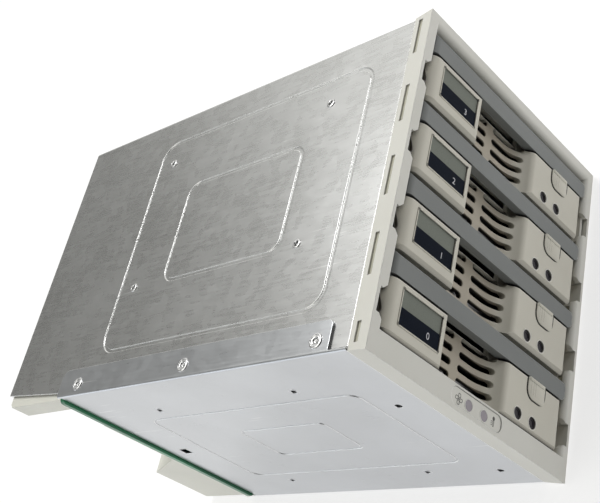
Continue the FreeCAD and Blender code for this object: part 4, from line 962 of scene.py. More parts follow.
class Bench:
    """Shapes new pieces with the tools of edit mode. Lengths are millimetres."""

    @staticmethod
    def _edit() -> None:
        """Go into edit mode with all of the mesh selected."""
        bpy.ops.object.mode_set(mode="EDIT")
        bpy.ops.mesh.select_all(action="SELECT")

    @staticmethod
    def _apply() -> None:
        """Put the place, turn and size of the piece in hand into its mesh."""
        bpy.ops.object.transform_apply(location=True, rotation=True, scale=True)

    @staticmethod
    def _pull(x: float, y: float, z: float) -> None:
        """Extrude what is selected by a step."""
        step = {"value": (x * MM, y * MM, z * MM)}
        bpy.ops.mesh.extrude_region_move(TRANSFORM_OT_translate=step)

    @staticmethod
    def _take(piece: Piece) -> None:
        """Select one piece alone.

        Args:
            piece: the piece.
        """
        deselect()
        bpy.context.view_layer.objects.active = piece
        piece.select_set(True)

    @staticmethod
    def _label(piece: Piece, name: str) -> Piece:
        """Name a piece and its mesh."""
        piece.name = piece.data.name = name
        return piece

    @staticmethod
    def _finish(name: str) -> Piece:
        """Weld, face outwards, smooth and name the piece in hand.

        Args:
            name: the piece's name.

        Returns:
            The piece.
        """
        Bench._edit()
        bpy.ops.mesh.remove_doubles(threshold=0.0002 * MM)
        bpy.ops.mesh.normals_make_consistent(inside=False)
        bpy.ops.object.mode_set(mode="OBJECT")
        Bench._apply()
        bpy.ops.object.shade_smooth_by_angle(angle=math.radians(38))
        return Bench._label(bpy.context.object, name)

    @staticmethod
    def turned(
        name: str, outline: Outline, sides: int = 32, ring: bool = False
    ) -> Piece:
        """Turn a piece about its upright axis.

        Args:
            name: the piece's name.
            outline: its radius and height, from its foot up. A last radius of 0
                closes it in a point. For a ring it is the section.
            sides: how many sides it has.
            ring: whether it is an open ring and not a solid piece.

        Returns:
            The piece, standing on the origin.
        """
        deselect()
        bpy.ops.mesh.primitive_circle_add(
            vertices=sides,
            radius=outline[0][0] * MM,
            fill_type="NOTHING" if ring else "NGON",
            location=(0, 0, outline[0][1] * MM),
        )
        Bench._edit()
        rest = [*outline[1:], outline[0]] if ring else outline[1:]
        for (wide, low), (narrow, high) in zip(outline, rest):
            Bench._pull(0.0, 0.0, high - low)
            ratio = max(narrow, 0.001) / wide
            centre = (0.0, 0.0, high * MM)
            bpy.ops.transform.resize(value=(ratio, ratio, 1.0), center_override=centre)
        if rest[-1][0] == 0.0:
            bpy.ops.mesh.merge(type="CENTER")
        return Bench._finish(name)

    @staticmethod
    def block(name: str, low: Corner, high: Corner, edge: float) -> Piece:
        """Make a block with rolled edges.

        Args:
            name: the piece's name.
            low: its lowest corner.
            high: its highest corner.
            edge: the radius of its edges.

        Returns:
            The piece.
        """
        deselect()
        middle = [(a + b) / 2 * MM for a, b in zip(low, high)]
        bpy.ops.mesh.primitive_cube_add(size=1.0, location=middle)
        bpy.context.object.scale = [(b - a) * MM for a, b in zip(low, high)]
        Bench._apply()
        Bench._edit()
        bpy.ops.mesh.bevel(offset=edge * MM, segments=2)
        return Bench._finish(name)

    @staticmethod
    def sheet(
        name: str,
        size: tuple[float, float],
        corners: tuple[float, float, float, float],
        thick: float = THIN,
        edge: float = 0.0,
        rim: float = 0.0,
    ) -> Piece:
        """Make a flat plate with rounded corners, or a frame cut from one.

        Args:
            name: the piece's name.
            size: its width and depth.
            corners: the radius of each corner, from the lowest x and y round
                against the clock.
            thick: its thickness.
            edge: the radius of its upper edges.
            rim: the width of the frame, or 0 for a whole plate.

        Returns:
            The piece, lying on the origin with its middle there.
        """
        deselect()
        bpy.ops.mesh.primitive_plane_add(size=1.0)
        bpy.context.object.scale = (size[0] * MM, size[1] * MM, 1.0)
        Bench._apply()
        quarters = ((-1, -1), (1, -1), (1, 1), (-1, 1))
        for (x, y), radius in zip(quarters, corners):
            Bench._pick_corner(x * size[0] / 2 * MM, y * size[1] / 2 * MM)
            bpy.ops.mesh.bevel(offset=radius * MM, segments=6, affect="VERTICES")
        bpy.ops.mesh.select_all(action="SELECT")
        if rim:
            bpy.ops.mesh.inset(thickness=rim * MM, use_even_offset=True)
            bpy.ops.mesh.delete(type="FACE")
            bpy.ops.mesh.select_all(action="SELECT")
        Bench._pull(0.0, 0.0, thick)
        if edge:
            bpy.ops.mesh.inset(thickness=edge * MM, use_even_offset=True)
            bpy.ops.transform.translate(value=(0.0, 0.0, edge * 0.6 * MM))
        return Bench._finish(name)

    @staticmethod
    def _pick_corner(x: float, y: float) -> None:
        """Select the corner of a flat mesh that lies at a place.

        Args:
            x: its place across.
            y: its place in the depth.
        """
        bpy.ops.object.mode_set(mode="EDIT")
        bpy.ops.mesh.select_mode(type="VERT")
        bpy.ops.mesh.select_all(action="DESELECT")
        bpy.ops.object.mode_set(mode="OBJECT")
        for vertex in bpy.context.object.data.vertices:
            gap = (vertex.co - Vector((x, y, vertex.co.z))).length
            vertex.select = gap < 0.001 * MM
        bpy.ops.object.mode_set(mode="EDIT")

    @staticmethod
    def strip(
        name: str, run: Outline, width: float, thick: float
    ) -> Piece:
        """Make a bent leaf.

        Args:
            name: the piece's name.
            run: the depth and height of each bend, from one end on.
            width: its width across the run.
            thick: its thickness.

        Returns:
            The piece, with its run in the depth and the height.
        """
        deselect()
        bpy.ops.mesh.primitive_plane_add(size=1.0)
        piece = bpy.context.object
        Bench._edit()
        bpy.ops.transform.resize(value=(width * MM, 0.0, 0.0))
        bpy.ops.mesh.remove_doubles(threshold=0.001 * MM)
        start = (0.0, run[0][0] * MM, run[0][1] * MM)
        bpy.ops.transform.translate(value=start)
        for (near, low), (far, high) in zip(run, run[1:]):
            Bench._pull(0.0, far - near, high - low)
        bpy.ops.object.mode_set(mode="OBJECT")
        wall = piece.modifiers.new("wall", "SOLIDIFY")
        wall.thickness = thick * MM
        wall.offset = 0.0
        bpy.ops.object.modifier_apply(modifier=wall.name)
        return Bench._finish(name)

    @staticmethod
    def number(name: str, text: str, size: float, thick: float) -> Piece:
        """Make a raised number, centred on the origin and facing up.

        Args:
            name: the piece's name.
            text: the number.
            size: its height.
            thick: how far it is raised.

        Returns:
            The piece.
        """
        deselect()
        bpy.ops.object.text_add()
        words = bpy.context.object.data
        words.body = text
        words.size = size * MM
        words.extrude = thick / 2 * MM
        words.align_x = "CENTER"
        words.align_y = "CENTER"
        bpy.ops.object.convert(target="MESH")
        return Bench._finish(name)

    @staticmethod
    def put(
        piece: Piece, at: Vector, facing: Facing = Facing.UP, spin: float = 0
    ) -> Piece:
        """Turn a piece, put it in its place and leave its object at the origin.

        Args:
            piece: the piece, made lying on the origin.
            at: where its origin goes, in metres.
            facing: which way its top is turned.
            spin: how far it is turned about its own upright axis first, in degrees.

        Returns:
            The piece.
        """
        Bench._take(piece)
        piece.rotation_euler = (0.0, 0.0, math.radians(spin))
        bpy.ops.object.transform_apply(location=False, rotation=True, scale=False)
        piece.rotation_euler = facing.value
        piece.location = at
        Bench._apply()
        return piece

    @staticmethod
    def gather(name: str, pieces: list[Piece]) -> Piece:
        """Join pieces into one.

        Args:
            name: the joined piece's name.
            pieces: the pieces.

        Returns:
            The joined piece.
        """
        Bench._take(pieces[0])
        for piece in pieces:
            piece.select_set(True)
        if len(pieces) > 1:
            bpy.ops.object.join()
        return Bench._label(bpy.context.object, name)

    @staticmethod
    def everywhere(
        name: str,
        model: Piece,
        places: list[Vector],
        facing: Facing = Facing.UP,
    ) -> Piece:
        """Put a copy of a model at each place and join them.

        Args:
            name: the joined piece's name.
            model: the piece that is repeated; it is used for the last place.
            places: where each one goes, in metres.
            facing: which way their tops are turned.

        Returns:
            The joined piece.
        """
        laid = []
        for at in places[:-1]:
            Bench._take(model)
            bpy.ops.object.duplicate()
            laid.append(Bench.put(bpy.context.object, at, facing))
        laid.append(Bench.put(model, places[-1], facing))
        return Bench.gather(name, laid)

    @staticmethod
    def carve(piece: Piece, tool: Piece) -> Piece:
        """Cut a closed tool out of a closed piece and remove the tool.

        Args:
            piece: the piece.
            tool: the tool.

        Returns:
            The piece.
        """
        Bench._take(piece)
        cut = piece.modifiers.new("cut", "BOOLEAN")
        cut.operation = "DIFFERENCE"
        cut.solver = "EXACT"
        cut.object = tool
        bpy.ops.object.modifier_apply(modifier=cut.name)
        bpy.data.objects.remove(tool)
        return Bench._finish(piece.name)


@dataclass
class Detail:
    """A group of pieces that is laid over the frame.

    Attributes:
        paint: the finishes.
    """

    paint: Paint

    def fit(
        self,
        piece: Piece,
        body: str,
        slot: str,
        finish: str | None = None,
        instead_of: str | None = None,
    ) -> None:
        """Dress a piece and fix it to its body.

        Args:
            piece: the finished piece.
            body: the body that it moves with.
            slot: the record's slot that it takes its finish from.
            finish: a finish of its own, where it isn't the slot's.
            instead_of: the node that it stands for, if any.
        """
        self.paint.dress(piece, slot, finish)
        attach(piece, body)
        if instead_of:
            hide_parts(instead_of)
        LOG.info("fitted %s on %s", piece.name, body)


# Rivets, screws and pressed holes


@dataclass(frozen=True)
class Rivet:
    """One kind of rivet, which stands in a grid above and below the cage.

    Attributes:
        kind: what its head is like.
        node: the node of its rows, without top or bottom.
        head: the radius of its head.
        crown: the head's outline, from its rim inwards.
        columns: how many stand beside each other.
        rows: how many stand behind each other.
        sides: how many sides it has.
    """

    kind: str
    node: str
    head: float
    crown: Outline
    columns: int
    rows: int
    sides: int


RINGED = Rivet(
    "ringed",
    "flange_rivets",
    3.1,
    (
        *((3.1, 0.0), (3.05, 0.16), (2.72, 0.4), (2.4, 0.44), (2.16, 0.22)),
        *((1.96, 0.22), (1.8, 0.48), (1.35, 0.5), (1.05, 0.3), (0.85, -0.25)),
        (0.0, -0.3),
    ),
    1,
    3,
    32,
)
FLARED = Rivet(
    "flared",
    "guide_rivets",
    2.1,
    (
        *((2.1, 0.0), (2.06, 0.18), (1.75, 0.46), (1.4, 0.5), (1.12, 0.3)),
        *((1.0, -0.8), (0.5, -0.8), (0.35, -0.45), (0.0, -0.42)),
    ),
    2,
    2,
    28,
)


@dataclass
class Fasteners(Detail):
    """Everything that is riveted, screwed or pressed into the sheet metal.

    Attributes:
        rise: the height of a rivet's head.
        shank: the radius of a rivet below its head.
        screw_rise: the height of a screw's head.
        thread: the radius of a screw's thread.
        tip: the radius of its tip.
        taper: the length of its tapered end.
        cross: half the width of an arm of its cross recess.
        cross_middle: half the width of the recess in the middle.
        cross_depth: the depth of the recess.
        hole_depths: the mounting holes, front and rear, from the cage's middle.
        hole_heights: the lower and the upper ones, from the floor.
        lip: the section of the lip round a mounting hole.
    """

    rise: float = 0.5
    shank: float = 1.5
    screw_rise: float = 1.6
    thread: float = 1.3
    tip: float = 0.9
    taper: float = 1.2
    cross: float = 0.36
    cross_middle: float = 0.62
    cross_depth: float = 0.9
    hole_depths: tuple[float, float] = (-55.75, 23.5)
    hole_heights: tuple[float, float] = (18.8, 103.4)
    lip: Outline = (
        *((1.26, -0.8), (1.26, -0.1), (1.45, 0.12), (1.8, 0.15)),
        *((2.1, 0.03), (2.3, -0.05), (2.0, -0.1)),
    )

    def build(self) -> None:
        """Build every fastener and pressed hole."""
        for label, facing in (("top", Facing.UP), ("bottom", Facing.DOWN)):
            self._rivets(RINGED, label, facing)
            self._rivets(FLARED, label, facing)
        self._screws("board_screws", 2.8)
        self._screws("fan_screws", 3.4)
        self._collars()

    def _rivets(self, rivet: Rivet, label: str, facing: Facing) -> None:
        """Turn the rivets of one kind on one side of the cage.

        Args:
            rivet: the kind.
            label: the side's name.
            facing: which way their heads are turned.
        """
        node = f"{rivet.node}_{label}"
        low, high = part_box(node)
        rise = self.rise * MM
        level = high.z - rise if facing is Facing.UP else low.z + rise
        foot = self.rise - (high.z - low.z) / MM
        outline = [(self.shank, foot), (self.shank, 0.0), *rivet.crown]
        model = Bench.turned(node, outline, rivet.sides)
        reach = rivet.head * MM
        places = [
            Vector((x, y, level))
            for x in spread(low.x + reach, high.x - reach, rivet.columns)
            for y in spread(low.y + reach, high.y - reach, rivet.rows)
        ]
        whole = Bench.everywhere(f"{rivet.kind}_{node}", model, places, facing)
        self.fit(whole, "cage", "fastener_steel", instead_of=node)

    def _screws(self, node: str, head: float) -> None:
        """Turn four pan head screws and cut a cross recess in each.

        Args:
            node: the node of the screws.
            head: the radius of a head.
        """
        low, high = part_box(node)
        rise = self.screw_rise
        length = (high.y - low.y) / MM - rise
        outline = [
            *((self.tip, -length), (self.thread, self.taper - length)),
            *((self.thread, 0.0), (head, 0.0)),
            *((head - 0.02, rise * 0.45), (head * 0.86, rise * 0.85)),
            *((head * 0.5, rise * 0.98), (0.0, rise)),
        ]
        screw = Bench.turned(node, outline, 28)
        long, half, middle = head * 0.5, self.cross, self.cross_middle
        foot, above = rise - self.cross_depth, 4.0
        for a, b in ((long, half), (half, long), (middle, middle)):
            arm = Bench.block("arm", (-a, -b, foot), (a, b, above), 0.05)
            screw = Bench.carve(screw, arm)
        reach = head * MM
        places = [
            Vector((x, high.y - rise * MM, z))
            for x in spread(low.x + reach, high.x - reach, 2)
            for z in spread(low.z + reach, high.z - reach, 2)
        ]
        whole = Bench.everywhere(f"cross_{node}", screw, places, Facing.REAR)
        self.fit(whole, "cage", "fastener_steel", instead_of=node)

    def _collars(self) -> None:
        """Press a rolled lip round each tapped hole of both sides."""
        for label, slot, facing, wall in (
            ("left", "plate_steel", Facing.LEFT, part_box("side_plate")[0].x),
            ("right", "shell_steel", Facing.RIGHT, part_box("cage_shell")[1].x),
        ):
            lip = Bench.turned(label, self.lip, 28, ring=True)
            places = [
                Vector((wall, y * MM, z * MM))
                for y in self.hole_depths
                for z in self.hole_heights
            ]
            whole = Bench.everywhere(f"hole_collars_{label}", lip, places, facing)
            self.fit(whole, "cage", slot)


# The bezel


@dataclass
class StatusStrip(Detail):
    """What lies on the status strip: the plate's outline, two signs, lens rims.

    Attributes:
        low: the plate's lower left corner, from the cage's middle and the floor.
        high: its upper right corner.
        corner: the radius of its corners.
        sunk: how far the plate lies behind the bezel's face.
        sign_gap: from a light to the sign beyond it.
    """

    low: tuple[float, float] = (-72.03, 47.5)
    high: tuple[float, float] = (-65.03, 79.5)
    corner: float = 2.9
    sunk: float = 0.3
    sign_gap: float = 6.2

    def build(self) -> None:
        """Build the strip's pieces."""
        low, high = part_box("status_lights")
        middle, radius = (low.x + high.x) / 2, (high.x - low.x) / 2
        floor = Bay.front + self.sunk * MM
        lower, upper = low.z + radius, high.z - radius
        gap = self.sign_gap * MM
        self._outline(floor)
        self._rims([Vector((middle, floor, height)) for height in (lower, upper)])
        self._print("fan_sign", self._fan(), Vector((middle, floor, upper + gap)), 0.0)
        heat = Vector((middle, floor, lower - gap))
        self._print("heat_sign", self._thermometer(), heat, 90.0)

    def _outline(self, floor: float) -> None:
        """Lay the fine dark line round the sunk plate.

        Args:
            floor: where the plate lies in the depth.
        """
        (left, foot), (right, top) = self.low, self.high
        size, radii = (right - left, top - foot), (self.corner,) * 4
        frame = Bench.sheet("sign_plate_outline", size, radii, rim=0.22)
        at = Vector(((left + right) / 2 * MM, floor, (foot + top) / 2 * MM))
        Bench.put(frame, at, Facing.FRONT)
        self.fit(frame, "cage", "bezel_plastic", "fine_line")

    def _rims(self, places: list[Vector]) -> None:
        """Turn a low rim round each light.

        Args:
            places: the lights' middles.
        """
        section = [(2.15, 0.01), (2.2, 0.06), (2.5, 0.08), (2.65, -0.05), (2.4, -0.1)]
        rim = Bench.turned("status_rims", section, ring=True)
        whole = Bench.everywhere("status_rims", rim, places, Facing.FRONT)
        self.fit(whole, "cage", "bezel_plastic")

    def _print(
        self, name: str, parts: list[Piece], at: Vector, spin: float
    ) -> None:
        """Join the strokes of a sign and print it on the plate.

        Args:
            name: the sign's name.
            parts: its strokes.
            at: its middle.
            spin: how far it is turned, in degrees.
        """
        sign = Bench.put(Bench.gather(name, parts), at, Facing.FRONT, spin)
        self.fit(sign, "cage", "bezel_plastic", "sign_ink")

    @staticmethod
    def _fan() -> list[Piece]:
        """Draw a small four-bladed fan in outline.

        Returns:
            Its strokes.
        """
        parts = []
        for turn in range(4):
            radii = (0.65, 0.3, 0.65, 0.3)
            petal = Bench.sheet(f"petal_{turn}", (1.5, 1.7), radii, rim=0.24)
            Bench.put(petal, Vector((0.2 * MM, 1.35 * MM, 0.0)))
            parts.append(Bench.put(petal, Vector(), spin=90.0 * turn))
        parts.append(Bench.turned("boss", [(0.36, 0.0), (0.36, THIN)], 12))
        return parts

    @staticmethod
    def _thermometer() -> list[Piece]:
        """Draw a small thermometer with three ticks.

        Returns:
            Its strokes.
        """
        bulb = Bench.turned("bulb", [(0.75, 0.0), (0.75, THIN)], 16)
        parts = [Bench.put(bulb, Vector((0.0, -1.5 * MM, 0.0)))]
        parts.append(Bench.sheet("stem", (0.75, 3.4), (0.3,) * 4, rim=0.2))
        for index in range(3):
            tick = Bench.sheet(f"tick_{index}", (0.9, 0.24), (0.05,) * 4)
            at = Vector((1.1 * MM, (1.2 - 0.7 * index) * MM, 0.0))
            parts.append(Bench.put(tick, at))
        return parts


@dataclass
class Rails(Detail):
    """What lies in the bezel's rails: leaf springs and the floors of the slits.

    Attributes:
        notch: the middle of a bay's notch.
        leaves: how many leaves a spring has.
        leaf_pitch: one leaf to the next.
        leaf_first: from the bezel's face to the middle of the first leaf.
        leaf_width: the width of a leaf.
        leaf_thick: its thickness.
        leaf_run: how far along it each of its bends lies, and how high.
        slit: where a slit starts and ends behind the bezel's face.
        corner_slit: where the short slit at the corner starts and ends across.
        bay_slit: where a slit starts and ends in a bay.
        sunk: a slit's floor under the bezel's outermost edge, and its underside.
        lap: how far a floor reaches into the slit's walls.
    """

    notch: float = 10.05
    leaves: int = 4
    leaf_pitch: float = 1.55
    leaf_first: float = 1.2
    leaf_width: float = 1.25
    leaf_thick: float = 0.3
    leaf_run: Outline = (
        *((-4.3, 1.6), (-3.7, 0.9), (-2.8, 0.6), (-1.7, 0.75)),
        *((-0.4, 1.35), (1.0, 2.2), (2.6, 2.9), (4.3, 3.2)),
    )
    slit: tuple[float, float] = (4.5, 6.5)
    corner_slit: tuple[float, float] = (-70.33, -62.33)
    bay_slit: tuple[float, float] = (19.7, 36.9)
    sunk: tuple[float, float] = (1.25, 1.9)
    lap: float = 0.1

    def build(self) -> None:
        """Build the springs and the floors."""
        self._springs()
        self._floors()

    def _springs(self) -> None:
        """Bend a row of leaves into each notch of the upper rail."""
        leaf = Bench.strip("leaf", self.leaf_run, self.leaf_width, self.leaf_thick)
        Bench.put(leaf, Vector(), spin=-90.0)
        rows = [
            Vector((0.0, (self.leaf_first + self.leaf_pitch * index) * MM, 0.0))
            for index in range(self.leaves)
        ]
        spring = Bench.everywhere("leaf_spring", leaf, rows)
        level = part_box("carrier_face_0")[1].z
        places = [
            Vector((Bay(index).side + self.notch * MM, Bay.front, level))
            for index in range(BAYS)
        ]
        whole = Bench.everywhere("rail_springs", spring, places)
        self.fit(whole, "cage", "guide_plastic", "spring_plastic")

    def _floors(self) -> None:
        """Close each slit of both rails just under its mouth, in darker plastic:
        painted shade and dust.
        """
        low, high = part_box("front_bezel")
        near, far = (Bay.front / MM + depth for depth in self.slit)
        spans = [self.corner_slit]
        for index in range(BAYS):
            side = Bay(index).side / MM
            spans.append(tuple(side + end for end in self.bay_slit))
        floors = []
        for outer, way in ((low.z / MM, 1), (high.z / MM, -1)):
            foot, top = sorted(outer + way * depth for depth in self.sunk)
            for start, end in spans:
                lower = (start - self.lap, near - self.lap, foot)
                upper = (end + self.lap, far + self.lap, top)
                floors.append(Bench.block("slit", lower, upper, 0.05))
        whole = Bench.gather("slit_floors", floors)
        self.fit(whole, "cage", "bezel_plastic", "slit_shade_plastic")


# One carrier


@dataclass
class Carrier(Detail):
    """What lies on one carrier: label, number, rims, latch pad and a painted shadow
    round it.

    Attributes:
        bay: where the carrier stands.
        band_share: the middle of the number's band, as a share of the label.
        number_share: how far down the label the number stands.
        number_size: the height of the number's letters.
        label_rim: the width of the bead round the label.
        label_gap: the gap between the label and the bead.
        pad_face: the latch pad's face in front of the blocks.
        pad_lift: the pad off the face.
        lap: the slider beyond the pad, up and down.
        tail: the slider beyond the pad, away from the lever.
        free: from the slider's and the stem's end to the pad's lever side.
        brim: the pad beyond its stem.
        lip: the width of the lip that the lever would catch.
        grips: how many grips the pad has.
        grip_first: from the pad's upper end to its first grip.
        grip_pitch: one grip to the next.
        grip_half: half the width of a grip.
        seat: the width of the painted shadow round the pad.
        foot_seat: its width below the pad.
        corners: the pad's corners, from its lower left against the clock.
        lamp_rim: the section of the rim round a lamp.
        lamp_lens: the outline of a lens with the die in it.
    """

    bay: Bay
    band_share: float = 0.22
    number_share: float = 0.72
    number_size: float = 3.8
    label_rim: float = 0.6
    label_gap: float = 0.1
    pad_face: float = 0.55
    pad_lift: float = 0.1
    lap: float = 1.5
    tail: float = 2.6
    free: float = 2.6
    brim: float = 1.9
    lip: float = 1.5
    grips: int = 3
    grip_first: float = 2.4
    grip_pitch: float = 1.6
    grip_half: float = 0.22
    seat: float = 0.45
    foot_seat: float = 1.0
    corners: tuple[float, float, float, float] = (2.5, 1.0, 1.0, 4.0)
    lamp_rim: Outline = (
        *((2.48, -0.45), (2.48, 0.02), (2.62, 0.14), (2.82, 0.12)),
        (2.98, -0.08),
    )
    lamp_lens: Outline = (
        *((2.4, -3.2), (2.4, -0.8), (2.2, -0.52), (1.6, -0.5)),
        *((1.4, -0.8), (0.0, -0.85)),
    )

    def build(self) -> None:
        """Build the carrier's pieces."""
        self._number()
        self._label_rim()
        self._lamps()
        self._latch()

    def _named(self, stem: str) -> str:
        """Return a name that ends in the bay's number."""
        return f"{stem}_{self.bay.index}"

    def _number(self) -> None:
        """Raise the bay's number on the dark band of its label."""
        low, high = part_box(self._named("port_label"))
        name = self._named("port_number")
        figure = Bench.number(name, str(self.bay.index), self.number_size, 0.06)
        across = low.x + (high.x - low.x) * self.band_share
        height = high.z - (high.z - low.z) * self.number_share
        Bench.put(figure, Vector((across, low.y, height)), Facing.FRONT, -90.0)
        self.fit(figure, self._named("carrier"), "label_panel", "label_ink")

    def _label_rim(self) -> None:
        """Raise a thin bead round the label's window."""
        low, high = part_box(self._named("port_label"))
        more = 2 * (self.label_rim + self.label_gap)
        size = ((high.x - low.x) / MM + more, (high.z - low.z) / MM + more)
        name = self._named("label_rim")
        rim = Bench.sheet(name, size, (0.5,) * 4, 0.12, 0.12, self.label_rim)
        middle = (low + high) / 2
        Bench.put(rim, Vector((middle.x, Bay.front, middle.z)), Facing.FRONT)
        self.fit(rim, self._named("carrier"), "carrier_plastic")

    def _lamps(self) -> None:
        """Turn a chamfered rim, lighter as a painted highlight, round each lamp, and a
        die in its lens.
        """
        carrier, lights = self._named("carrier"), self._named("carrier_lights")
        low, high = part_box(lights)
        radius = (high.x - low.x) / 2
        middle = (low.x + high.x) / 2
        heights = (low.z + radius, high.z - radius)
        places = [Vector((middle, Bay.front, height)) for height in heights]
        name = self._named("lamp_rims")
        rim = Bench.turned(name, self.lamp_rim, ring=True)
        whole = Bench.everywhere(name, rim, places, Facing.FRONT)
        self.fit(whole, carrier, "carrier_plastic", "highlight_rim")
        name = self._named("lamp_lens")
        lens = Bench.turned(name, self.lamp_lens)
        whole = Bench.everywhere(name, lens, places, Facing.FRONT)
        self.fit(whole, carrier, "carrier_lens", instead_of=lights)

    def _latch(self) -> None:
        """Build the thumb pad with its lip, grips, stem and slider, and the painted
        shadow round it.
        """
        name, latch = self._named("latch_pad"), self._named("latch")
        low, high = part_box(latch)
        front, rear = ((Bay.front - end.y) / MM for end in (low, high))
        left, right = low.x + self.tail * MM, high.x
        foot, head = low.z + self.lap * MM, high.z - self.lap * MM
        width, length = (right - left) / MM, (head - foot) / MM
        middle = Vector(((left + right) / 2, Bay.front, (foot + head) / 2))
        a, b, lift = width / 2, length / 2, self.pad_lift
        blocks = [((a - self.lip, 0.6 - b, lift), (a, b - 0.6, front - 0.02), 0.32)]
        for index in range(self.grips):
            y = b - self.grip_first - index * self.grip_pitch
            lower = (2.2 - a, y - self.grip_half, self.pad_face - 0.3)
            upper = (a - 1.0, y + self.grip_half, self.pad_face + 0.08)
            blocks.append((lower, upper, 0.12))
        end, brim = a - self.free, self.brim
        blocks.append(((brim - a, brim - b, rear + 0.2), (end, b - brim, 0.4), 0.1))
        lower, upper = (-a - self.tail, -b - self.lap), (end, b + self.lap)
        blocks.append(((*lower, rear), (*upper, rear + 1.1), 0.1))
        thick = self.pad_face - lift - 0.2
        pad = Bench.sheet(name, (width, length), self.corners, thick, 0.33)
        raised = middle + Vector((0.0, -lift * MM, 0.0))
        parts = [Bench.put(pad, raised, Facing.FRONT)]
        for lower, upper, edge in blocks:
            part = Bench.block(name, lower, upper, edge)
            parts.append(Bench.put(part, middle, Facing.FRONT))
        whole = Bench.gather(name, parts)
        self.fit(whole, latch, "carrier_plastic", instead_of=latch)
        self._seat(width, length, middle)

    def _seat(self, width: float, length: float, middle: Vector) -> None:
        """Lay a near-black sheet round the latch pad: the painted shadow of its gap.

        Args:
            width: the pad's width.
            length: its length.
            middle: its middle.
        """
        name = self._named("latch_seat")
        size = (width + self.seat, length + self.seat + self.foot_seat)
        first, *others = (corner + self.seat for corner in self.corners)
        seat = Bench.sheet(name, size, (first + 2.0, *others))
        drop = (self.seat - self.foot_seat) / 2
        shift = Vector((-self.seat / 2 * MM, 0.0, drop * MM))
        Bench.put(seat, middle + shift, Facing.FRONT)
        self.fit(seat, self._named("carrier"), "carrier_plastic", "shadow_gap")


# The backplane's contacts and the fan


@dataclass(frozen=True)
class Sockets:
    """The sockets of one kind of connector, each with a tongue in it.

    Attributes:
        node: their node.
        facing: which way they open.
        columns: how many stand beside each other, one for each bay.
        rows: how many stand above each other.
        size: a tongue's width and height.
        strips: how many gold strips a tongue has.
        end: from the end of a column of sockets to the middle of its first one.
    """

    node: str
    facing: Facing
    columns: int
    rows: int
    size: tuple[float, float]
    strips: int
    end: float = 3.0

    def places(self) -> list[Vector]:
        """Return the middle of each tongue's foot.

        Returns:
            The places in metres.
        """
        low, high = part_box(self.node)
        foot = high.y if self.facing is Facing.FRONT else low.y
        inset_x = (high.x - low.x - Bay.pitch * (self.columns - 1)) / 2
        inset_z = (high.z - low.z) / 2 if self.rows == 1 else self.end * MM
        return [
            Vector((x, foot, z))
            for x in spread(low.x + inset_x, high.x - inset_x, self.columns)
            for z in spread(low.z + inset_z, high.z - inset_z, self.rows)
        ]


@dataclass
class Contacts(Detail):
    """Contact tongues and pins inside the backplane's connectors.

    Attributes:
        mouth: how far a tongue ends behind the mouth of its socket.
        strip_width: half the width of a gold strip.
        strip_rise: how far it stands proud of the tongue.
        strip_ends: its ends, from the tongue's foot and from its tip.
        margin: from the tongue's side to the middle of its first strip.
        housing: the height of a power connector.
        pins: how many pins it has.
        pin: the outline of a pin.
    """

    mouth: float = 1.6
    strip_width: float = 0.3
    strip_rise: float = 0.06
    strip_ends: tuple[float, float] = (0.3, 0.7)
    margin: float = 0.8
    housing: float = 17.0
    pins: int = 4
    pin: Outline = ((0.9, 0.0), (0.9, 5.6), (0.8, 6.3), (0.45, 6.9), (0.0, 7.1))

    def build(self) -> None:
        """Build the contacts of each kind of connector."""
        drives = ("drive_connectors", Facing.FRONT, BAYS, 1, (1.2, 26.0), 18)
        signals = ("signal_connectors", Facing.REAR, 1, 4, (6.4, 0.9), 7)
        self._tongues(Sockets(*drives))
        self._tongues(Sockets(*signals))
        self._pins()

    def _tongues(self, sockets: Sockets) -> None:
        """Stand a tongue with gold strips in each socket.

        Args:
            sockets: the sockets.
        """
        node, places = sockets.node, sockets.places()
        low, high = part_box(node)
        deep = (high.y - low.y) / MM - self.mouth
        a, b = (part / 2 for part in sockets.size)
        tongue = Bench.block(f"{node}_tongue", (-a, -b, 0.0), (a, b, deep), 0.12)
        whole = Bench.everywhere(f"{node}_tongues", tongue, places, sockets.facing)
        self.fit(whole, "cage", "connector_plastic")
        upright = b > a
        wide, thick = self.strip_width, min(a, b) + self.strip_rise
        a, b = (thick, wide) if upright else (wide, thick)
        reach = max(sockets.size) / 2 - self.margin
        start, end = self.strip_ends[0], deep - self.strip_ends[1]
        strips = []
        for place in spread(-reach, reach, sockets.strips):
            x, y = (0.0, place) if upright else (place, 0.0)
            lower, upper = (x - a, y - b, start), (x + a, y + b, end)
            strips.append(Bench.block(f"{node}_strip", lower, upper, 0.05))
        name = f"{node}_strips"
        model = Bench.gather(name, strips)
        whole = Bench.everywhere(name, model, places, sockets.facing)
        self.fit(whole, "cage", "fastener_steel", "gold_contacts")

    def _pins(self) -> None:
        """Stand round pins in each power connector."""
        low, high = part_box("power_connectors")
        pin = Bench.turned("power_pins", self.pin, 20)
        middle = (low.x + high.x) / 2
        gap = self.housing * MM / self.pins
        places = [
            Vector((middle, low.y, start + gap * (index + 0.5)))
            for start in (low.z, high.z - self.housing * MM)
            for index in range(self.pins)
        ]
        whole = Bench.everywhere("power_pins", pin, places, Facing.REAR)
        self.fit(whole, "cage", "fastener_steel")


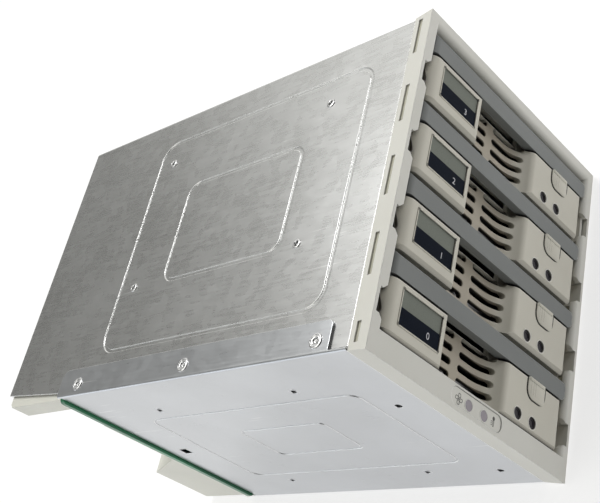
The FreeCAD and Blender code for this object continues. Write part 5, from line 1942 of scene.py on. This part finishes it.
@dataclass
class FanDetail(Detail):
    """A bare foil disc on the motor plate and a moulded ring on the hub.

    Attributes:
        foil: the disc's outline.
        ring: the ring's section.
        sides: how many sides both have.
    """

    foil: Outline = ((14.6, -0.2), (14.6, 0.03), (14.4, 0.06), (0.0, 0.06))
    ring: Outline = (
        *((10.2, -0.3), (10.2, 0.3), (10.6, 0.5), (11.4, 0.5)),
        *((11.8, 0.3), (11.8, -0.3)),
    )
    sides: int = 48

    def build(self) -> None:
        """Build the disc and the ring."""
        low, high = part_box("fan_frame")
        middle = (low + high) / 2
        disc = Bench.turned("motor_foil", self.foil, self.sides)
        Bench.put(disc, Vector((middle.x, high.y, middle.z)), Facing.REAR)
        self.fit(disc, "cage", "fastener_steel", "tray_steel")
        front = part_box("fan_rotor")[0].y
        ring = Bench.turned("hub_ring", self.ring, self.sides, ring=True)
        Bench.put(ring, Vector((middle.x, front, middle.z)), Facing.FRONT)
        self.fit(ring, "fan_rotor", "fan_plastic")


# The cage


@dataclass
class Cage:
    """The whole cage: dresses the frame's nodes and builds what lies over them.

    Attributes:
        nodes: the frame's objects by node name.
        paint: the finishes.
    """

    nodes: dict[str, Piece]
    paint: Paint

    def dress(self) -> None:
        """Dress every node of the frame."""
        slots = {stem: slot for slot, stems in SLOTS.items() for stem in stems}
        for name, node in sorted(self.nodes.items()):
            stem, _, bay = name.rpartition("_")
            slot = slots[stem if bay.isdigit() else name]
            self.paint.dress(node, slot)
            LOG.info("dressed %s in %s", name, slot)

    def build(self) -> None:
        """Dress the nodes, then build each sub-assembly over them."""
        self.dress()
        for kind in (Fasteners, StatusStrip, Rails):
            kind(self.paint).build()
        for index in range(BAYS):
            Carrier(self.paint, Bay(index)).build()
        Contacts(self.paint).build()
        FanDetail(self.paint).build()


def corners(box: tuple[Vector, Vector]) -> list[list[float]]:
    """Return a box as plain lists of numbers."""
    return [[float(part) for part in corner] for corner in box]


def main() -> None:
    """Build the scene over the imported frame."""
    logging.basicConfig(level=logging.INFO, format="%(message)s")
    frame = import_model()
    Studio().build()
    Cage(frame["nodes"], Paint()).build()


if __name__ == "__main__":
    main()
